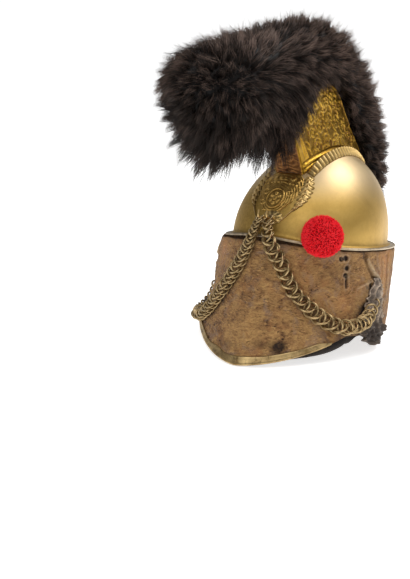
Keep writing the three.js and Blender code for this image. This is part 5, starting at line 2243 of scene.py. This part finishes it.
def nearest_lock(places: Array, locks: Array, block: int = 2000) -> Array:
    """The nearest lock of hair to each place, worked out in blocks that fit the memory.

    Args:
        places: points, one a row.
        locks: the locks' places, one a row.
        block: how many places are worked out at once.

    Returns:
        The locks' numbers.
    """
    found = np.empty(len(places), int)
    for first in range(0, len(places), block):
        some = places[first : first + block]
        gap = (some**2).sum(1)[:, None] + (locks**2).sum(1)[None, :] - 2 * some @ locks.T
        found[first : first + block] = gap.argmin(1)
    return found


# ---------------------------------------------------------------- chin chains, hook and loops


@dataclass
class ChinChain:
    """One strand of the chin chain: small leaning rings, each threaded through the one before."""

    head: HeadFrame
    form: CoverForm
    side: Side
    route: Rows
    wire: float = 1.25
    first: float = 5.8
    full: float = 9.0
    last: float = 6.8
    lean: float = math.radians(30)
    twist: float = math.radians(36)
    pitch: float = 0.63
    lower: float = 1.0

    def line(self) -> tuple[Array, Array]:
        """The strand's middle line and the line below it on the helmet.

        Returns:
            Both, finely sampled.
        """
        rows = np.array(self.route, float)
        angle = self.side.value * np.radians(rows[:, 0])
        strand = through_points(self.form.off_helmet(angle, rows[:, 1], rows[:, 2] - self.lower), 1500)
        seat = through_points(self.form.off_helmet(angle, rows[:, 1], 0 * rows[:, 2]), 1500)
        return strand, seat

    def place(self, at: float, twist: float, strand: Array, seat: Array) -> tuple[Array, Array, Array, float]:
        """One ring's middle, its two in-plane axes and its radius.

        Args:
            at: share of the way along.
            twist: the turn about the strand.
            strand: the middle line.
            seat: the line on the helmet.

        Returns:
            Middle, across, along, radius.
        """
        i = min(int(at * (len(strand) - 1)), len(strand) - 2)
        middle, ahead = strand[i], unit(strand[i + 1] - strand[max(i - 1, 0)])
        out = middle - seat[i]
        out = unit(out - ahead * (out @ ahead))
        radius = self.first + (self.full - self.first) * float(smooth_step(np.array(at * 4)))
        radius *= 1.0 if self.side is Side.LEFT else 0.76
        radius += (self.last - radius) * float(smooth_step(np.array((at - 0.85) / 0.15)))
        across = unit(np.cross(ahead, out))
        along = ahead * math.cos(self.lean) + out * math.sin(self.lean)
        c, s = math.cos(twist), math.sin(twist)
        turned = [v * c + np.cross(ahead, v) * s + ahead * (ahead @ v) * (1 - c) for v in (across, along)]
        return middle, turned[0], turned[1], radius

    def rings(self) -> list[tuple[Array, Array, Array, float]]:
        """Rings a fixed share of their radius apart, twisted to one side and the other in turn.

        Returns:
            Each ring's middle, its two in-plane axes and its radius.
        """
        strand, seat = self.line()
        length = float(np.linalg.norm(np.diff(strand, axis=0), axis=1).sum())
        found = [self.place(0, self.twist, strand, seat)]
        travelled = found[-1][3] * self.pitch
        while travelled < length:
            sense = 1 if len(found) % 2 == 0 else -1
            found.append(self.place(travelled / length, sense * self.twist, strand, seat))
            travelled += found[-1][3] * self.pitch
        return found

    def build(self) -> list[Piece]:
        """Each ring as a round wire, a little askew and out of round.

        Returns:
            The strand.
        """
        skin = Skin()
        turn = circle(24)[:, None]
        rng = np.random.default_rng(3 if self.side is Side.LEFT else 4)
        for middle, across, along, radius in self.rings():
            normal = np.cross(across, along)
            tilt = 0.06 * rng.normal(size=2)
            a, b = unit(across + normal * tilt[0]), unit(along + normal * tilt[1])
            path = middle + radius * (a * np.cos(turn) * (1 + 0.03 * rng.normal()) + b * np.sin(turn))
            skin.add(*tube(path, self.wire, 8, closed=True))
        name, node = f"ring_chain_{self.side.word}", f"chin_chain_{self.side.word}"
        return [skin.dressed(name, self.head, CHAIN_BRASS.material(), node, "chain_brass", merge=False)]


@dataclass
class ChainHook:
    """The boss below the plate and its two upturned prongs."""

    head: HeadFrame
    skull: SkullForm
    strands_of: tuple[ChinChain, ChinChain]
    z: float = 31.0
    wire: float = 1.2
    out: float = 17.0
    up: float = 9.0
    half_width: float = 12.5
    half_height: float = 8.0
    shift: float = 5.0

    def build(self) -> list[Piece]:
        """An oval rosette that follows the bowl, and prongs as round bars through the first rings.

        Returns:
            The hook.
        """
        skin = Skin()
        reach = np.linspace(0, 1, 26)[:, None]
        turn = circle(72)[None, :]
        lobes = 1 + 0.06 * np.cos(10 * turn)
        x = self.shift + self.half_width * reach * lobes * np.cos(turn)
        z = self.z + self.half_height * reach * lobes * np.sin(turn)
        angle = np.arcsin(x / self.skull.at(math.pi / 2, z)[..., 0])
        dome = 0.4 + 1.7 * bump_shape(reach * 0.99) * (1 + 0.16 * np.cos(10 * turn) * reach)
        dome = dome + 0.9 * bump_shape(reach / 0.3)
        front = self.skull.at(angle, z, 0.0, dome)
        rim = self.skull.at(angle, z, 0.0, 0.3)[::-5]
        rows = np.concatenate([front, rim, rim[-1:]], axis=0)
        rows[-1] = rows[-1].mean(0)
        hollow = np.concatenate([np.clip(1.25 - dome / 1.3, 0, 1), np.ones((len(rim) + 1, turn.size))])
        skin.add(rows, grid_faces(*rows.shape[:2], close_columns=True), Hollow=hollow)
        foot = self.skull.at(0.0, self.z)
        for chain in self.strands_of:
            middle, _, along, radius = chain.rings()[0]
            hang = middle - along * (radius - 1.1) * 0.3
            marks = [(-1, 0), (self.out * 0.8, 0), (self.out, 2.5), (self.out, self.up)]
            points = np.array([(hang[0], foot[1] - o, hang[2] + u) for o, u in marks])
            path = through_points(points, 26)
            skin.add(*tube(path, self.wire * (1 - 0.25 * np.linspace(0, 1, 26) ** 4), 12), Hollow=0.3)
        brass = RUBBED_RELIEF.material()
        return [skin.dressed("hook_rosette", self.head, brass, "chain_hook", "relief_brass")]


@dataclass
class EarLoop:
    """The wire loop at an ear that holds the strand's last ring."""

    head: HeadFrame
    form: CoverForm
    side: Side
    angle: float = math.radians(81)
    z: float = -62.0
    wire: float = 1.0
    reach: float = 8.0
    half: float = 4.5
    seat: float = 3.4

    def build(self) -> list[Piece]:
        """A bent wire: out, round and back to the leather.

        Returns:
            The loop.
        """
        rise = np.array([self.half, self.half, 0, -self.half, -self.half])
        lift = self.seat + self.reach * np.array([0, 0.6, 1.0, 0.6, 0])
        points = self.form.off_helmet(self.side.value * self.angle + 0 * rise, self.z + rise, lift)
        skin = Skin()
        skin.add(*tube(through_points(points, 40), self.wire, 12))
        name, node = f"ear_wire_{self.side.word}", f"ear_loop_{self.side.word}"
        return [skin.dressed(name, self.head, CHAIN_BRASS.material(), node, "chain_brass")]


@dataclass
class StrapTab:
    """The torn and crumpled leather that is left of the chin strap at an ear."""

    head: HeadFrame
    form: CoverForm
    side: Side
    thick: float = 2.0
    clear: float = 1.1
    rows: Rows = (
        # down, from, to
        (0.32, 80, 85),
        (0.42, 78, 87),
        (0.6, 75.5, 90),
        (0.8, 74, 95),
        (0.96, 73, 103),
        (1.06, 75, 102),
        (1.12, 84, 94),
    )

    def build(self) -> list[Piece]:
        """A closed sheet: crumples are noise in its lift, and its edges are frayed by noise in the outline.

        Returns:
            The leather.
        """
        seed = 81 if self.side is Side.LEFT else 91
        rows = np.array(self.rows, float)
        first, last = rows[0, 0], rows[-1, 0]
        down = np.linspace(first, last, 80)[:, None]
        share = np.linspace(0, 1, 56)[None, :]
        low, high = np.interp(down, rows[:, 0], rows[:, 1]), np.interp(down, rows[:, 0], rows[:, 2])
        fray, fray_high = (1.5 * line_noise(down * 100, 3.0, seed, beside) for beside in (0.0, 50.0))
        angle = np.radians(low + fray + (high - low + fray_high - fray) * share)
        edge = 0.022 * line_noise(share * 40, 4, seed + 3)
        level = down + edge * smooth_step((down - 0.8) / 0.3)
        sheet = np.stack([angle * PER_RADIAN, level * 100, 0 * angle], -1)
        crease = (1 - np.abs(noise(sheet * [1, 0.38, 1], 6.5, seed + 5))) ** 4
        minor = (1 - np.abs(noise(sheet * [1, 0.6, 1], 3.2, seed + 7))) ** 3
        crumple = 4.6 * crease + 1.5 * minor + 0.5 * rough(sheet, 2.5, 2, seed + 9)
        crumple = crumple * (1.0 if self.side is Side.LEFT else 0.5)
        crumple = crumple * (1 + 0.5 * smooth_step((down - 0.8) / 0.1))
        lift = self.clear + 0.7 * self.thick + np.clip(crumple, -0.6, 7.0) * smooth_step((down - first) / 0.1)
        outer = self.form.off(self.side.value * angle, level, lift)
        inner = self.form.off(self.side.value * angle, level, self.clear)[:, ::-6]
        rim = np.minimum(np.minimum(share, 1 - share) * 12, (last - down) / 0.06)
        # Lighter at the frayed rim, which is wear, and on crease ridges and small crumples, which is painted
        # highlight; towards the bottom almost all of it goes, so the lower part is darker.
        wear = np.clip(1 - rim, 0, 1) * 0.9 + 1.1 * smooth_step((crease - 0.42) / 0.4) + 0.35 * minor
        wear = (wear + 0.18) * (1 - 0.92 * smooth_step((down - 0.80) / 0.1))
        skin = Skin()
        section, marks = backed(outer, inner, np.clip(wear, 0, 1), 0.2)
        skin.sweep(section, 0.6, Wear=marks)
        name, node = f"torn_strap_{self.side.word}", f"strap_tab_{self.side.word}"
        return [skin.dressed(name, self.head, TORN_LEATHER.material(), node, "black_leather")]


LEFT_ROUTE = (
    # angle, height, lift
    (4.4, 30, 12),
    (5.8, 19, 15.5),
    (8, 9, 18),
    (10.8, -3, 8),
    (16.8, -17, 8),
    (21.5, -32, 8),
    (27, -47, 8),
    (35, -62, 8),
    (45, -77, 8),
    (54, -86, 9),
    (62, -89, 10.5),
    (69, -85, 11.5),
    (74, -76, 11.5),
    (76, -66, 11.5),
)
RIGHT_ROUTE = (
    (2.2, 30, 12),
    (2.6, 19, 15.5),
    (3.8, 9, 18),
    (6.0, -3, 8.5),
    (9.0, -15, 8),
    (13.5, -31, 8),
    (21, -52, 8),
    (30, -72, 8),
    (40, -89, 7.5),
    (50, -99, 6.5),
    (60, -101, 6),
    (69, -100, 5.5),
    (75, -94, 5),
    (79, -82, 5),
    (80, -69, 7.5),
)


# ---------------------------------------------------------------- studio


@dataclass(frozen=True)
class Lamp:
    """A soft square light, placed by its direction and distance from the helmet's middle."""

    name: str
    azimuth: float
    elevation: float
    distance: float
    size: float
    power: float
    colour: Colour = (1.0, 1.0, 1.0)


@dataclass
class Studio:
    """The pale floor, the soft lights and the camera."""

    head: HeadFrame
    azimuth: float = 29.561
    elevation: float = 13.881
    distance: float = 1.5
    lens_mm: float = 75.0466
    aim: tuple[float, float] = (0.0875766, 0.0415493)  # across and up from the view's middle, to 1 ahead
    floor_half: float = 55.0
    lamps: tuple[Lamp, ...] = (
        Lamp("key_light", 149, 46, 1.6, 0.7, 7.5),
        Lamp("side_light", 112, 50, 1.7, 1.4, 5),
        Lamp("front_light", 12, 62, 2.2, 2.0, 27),
    )

    def away(self, azimuth: float, elevation: float) -> Array:
        """The direction to a place: azimuth from the front towards the wearer's left, and elevation."""
        a, e = math.radians(azimuth), math.radians(elevation)
        return np.array([math.sin(a) * math.cos(e), -math.cos(a) * math.cos(e), math.sin(e)])

    def add_camera(self) -> None:
        """Aims the camera beside the helmet, so that the rim's middle falls at its place in the view."""
        back = self.away(self.azimuth, self.elevation)
        right = np.array([math.cos(math.radians(self.azimuth)), math.sin(math.radians(self.azimuth)), 0.0])
        up = np.cross(back, right)
        ray = mathutils.Vector((*self.aim, -1)).normalized()
        turn = ray.rotation_difference(mathutils.Vector((0, 0, -1))).to_matrix()
        looking = mathutils.Matrix([[right[k], up[k], back[k]] for k in range(3)])
        matrix = (looking @ turn).to_4x4()
        matrix.translation = mathutils.Vector(np.array(self.head.origin) / 1000 + back * self.distance)
        data = bpy.data.cameras.new("camera")
        data.sensor_width, data.lens, data.clip_end = 36.0, self.lens_mm, 60.0
        camera = bpy.data.objects.new("camera", data)
        camera.matrix_world = matrix
        bpy.context.scene.collection.objects.link(camera)
        bpy.context.scene.camera = camera

    def add_floor(self) -> None:
        """A wide pale floor that glows a little, as a lit white table does."""
        x, y = np.meshgrid(*[np.linspace(-self.floor_half, self.floor_half, 15)] * 2, indexing="ij")
        points = np.stack([x, y, 0 * x - 0.0002], axis=-1).reshape(-1, 3)
        mesh = bpy.data.meshes.new("studio_floor")
        mesh.from_pydata(points.tolist(), [], grid_faces(15, 15).tolist())
        floor = bpy.data.objects.new("studio_floor", mesh)
        bpy.context.scene.collection.objects.link(floor)
        sketch = Sketch("pale_floor")
        sketch.constant(Roughness=0.9, Specular_IOR_Level=0.1)
        sketch.constant(Emission_Color=(1, 1, 1, 1), Emission_Strength=0.7)
        sketch.colour(sketch.ramp(sketch.noise(900, 2), [(0.3, (0.90,) * 3), (0.7, (0.93,) * 3)]))
        mesh.materials.append(sketch.material)

    def add_lights(self) -> None:
        """Soft square lamps round the helmet, and an even pale sky."""
        middle = np.array([0.0, 0.0, 0.19])
        for lamp in self.lamps:
            data = bpy.data.lights.new(lamp.name, "AREA")
            data.shape, data.size, data.energy, data.color = "SQUARE", lamp.size, lamp.power, lamp.colour
            light = bpy.data.objects.new(lamp.name, data)
            way = self.away(lamp.azimuth, lamp.elevation)
            light.location = middle + way * lamp.distance
            light.rotation_euler = light_turn(way)
            bpy.context.scene.collection.objects.link(light)
        world = bpy.data.worlds.new("studio_sky")
        world.use_nodes = True
        background = world.node_tree.nodes["Background"]
        background.inputs["Color"].default_value = (1, 1, 1, 1)
        background.inputs["Strength"].default_value = 0.38
        bpy.context.scene.world = world

    def build(self) -> None:
        """Sets the whole studio up."""
        self.add_camera()
        self.add_floor()
        self.add_lights()
        bpy.context.scene.view_settings.view_transform = "Standard"


def light_turn(way: Array) -> tuple[float, ...]:
    """The turn that makes a lamp shine back along a direction."""
    return tuple(mathutils.Vector(way).to_track_quat("Z", "Y").to_euler())


# ---------------------------------------------------------------- assembly


def dress_carried(nodes: dict[str, Piece]) -> None:
    """Gives the solids that stay in view their own finishes.

    Args:
        nodes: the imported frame's objects by name.
    """
    pin = nodes["pompon_pin"]
    pin.data.materials.clear()
    pin.data.materials.append(BAND_BRASS.material())


def main() -> None:
    """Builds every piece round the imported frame, then the studio."""
    logging.basicConfig(level=logging.INFO, format="%(name)s: %(message)s")
    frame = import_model()
    head = HeadFrame.from_record(frame["record"])
    skull = SkullForm()
    cover = CoverForm(head, skull)
    crest = Crest(head, skull)
    left = ChinChain(head, cover, Side.LEFT, LEFT_ROUTE)
    right = ChinChain(head, cover, Side.RIGHT, RIGHT_ROUTE)
    parts = [Bowl(head, skull), crest, FrontPlate(head, skull), HideCover(head, cover)]
    parts += [VisorLeather(head, cover), VisorBand(head, cover), Pompon(head, skull), Chenille(head)]
    parts += [left, right, ChainHook(head, skull, (left, right))]
    for side in Side:
        parts += [GadroonStrip(head, skull, crest, side), LaurelLeaf(head, skull, side)]
        parts += [StrapTab(head, cover, side), EarLoop(head, cover, side)]
    total = 0
    for part in parts:
        for piece in part.build():
            faces = sum(len(p.vertices) - 2 for p in piece.data.polygons)
            total += faces
            LOG.info("%s: %d triangles", piece.name, faces)
    LOG.info("all pieces: %d triangles", total)
    dress_carried(frame["nodes"])
    Studio(head).build()


if __name__ == "__main__":
    main()
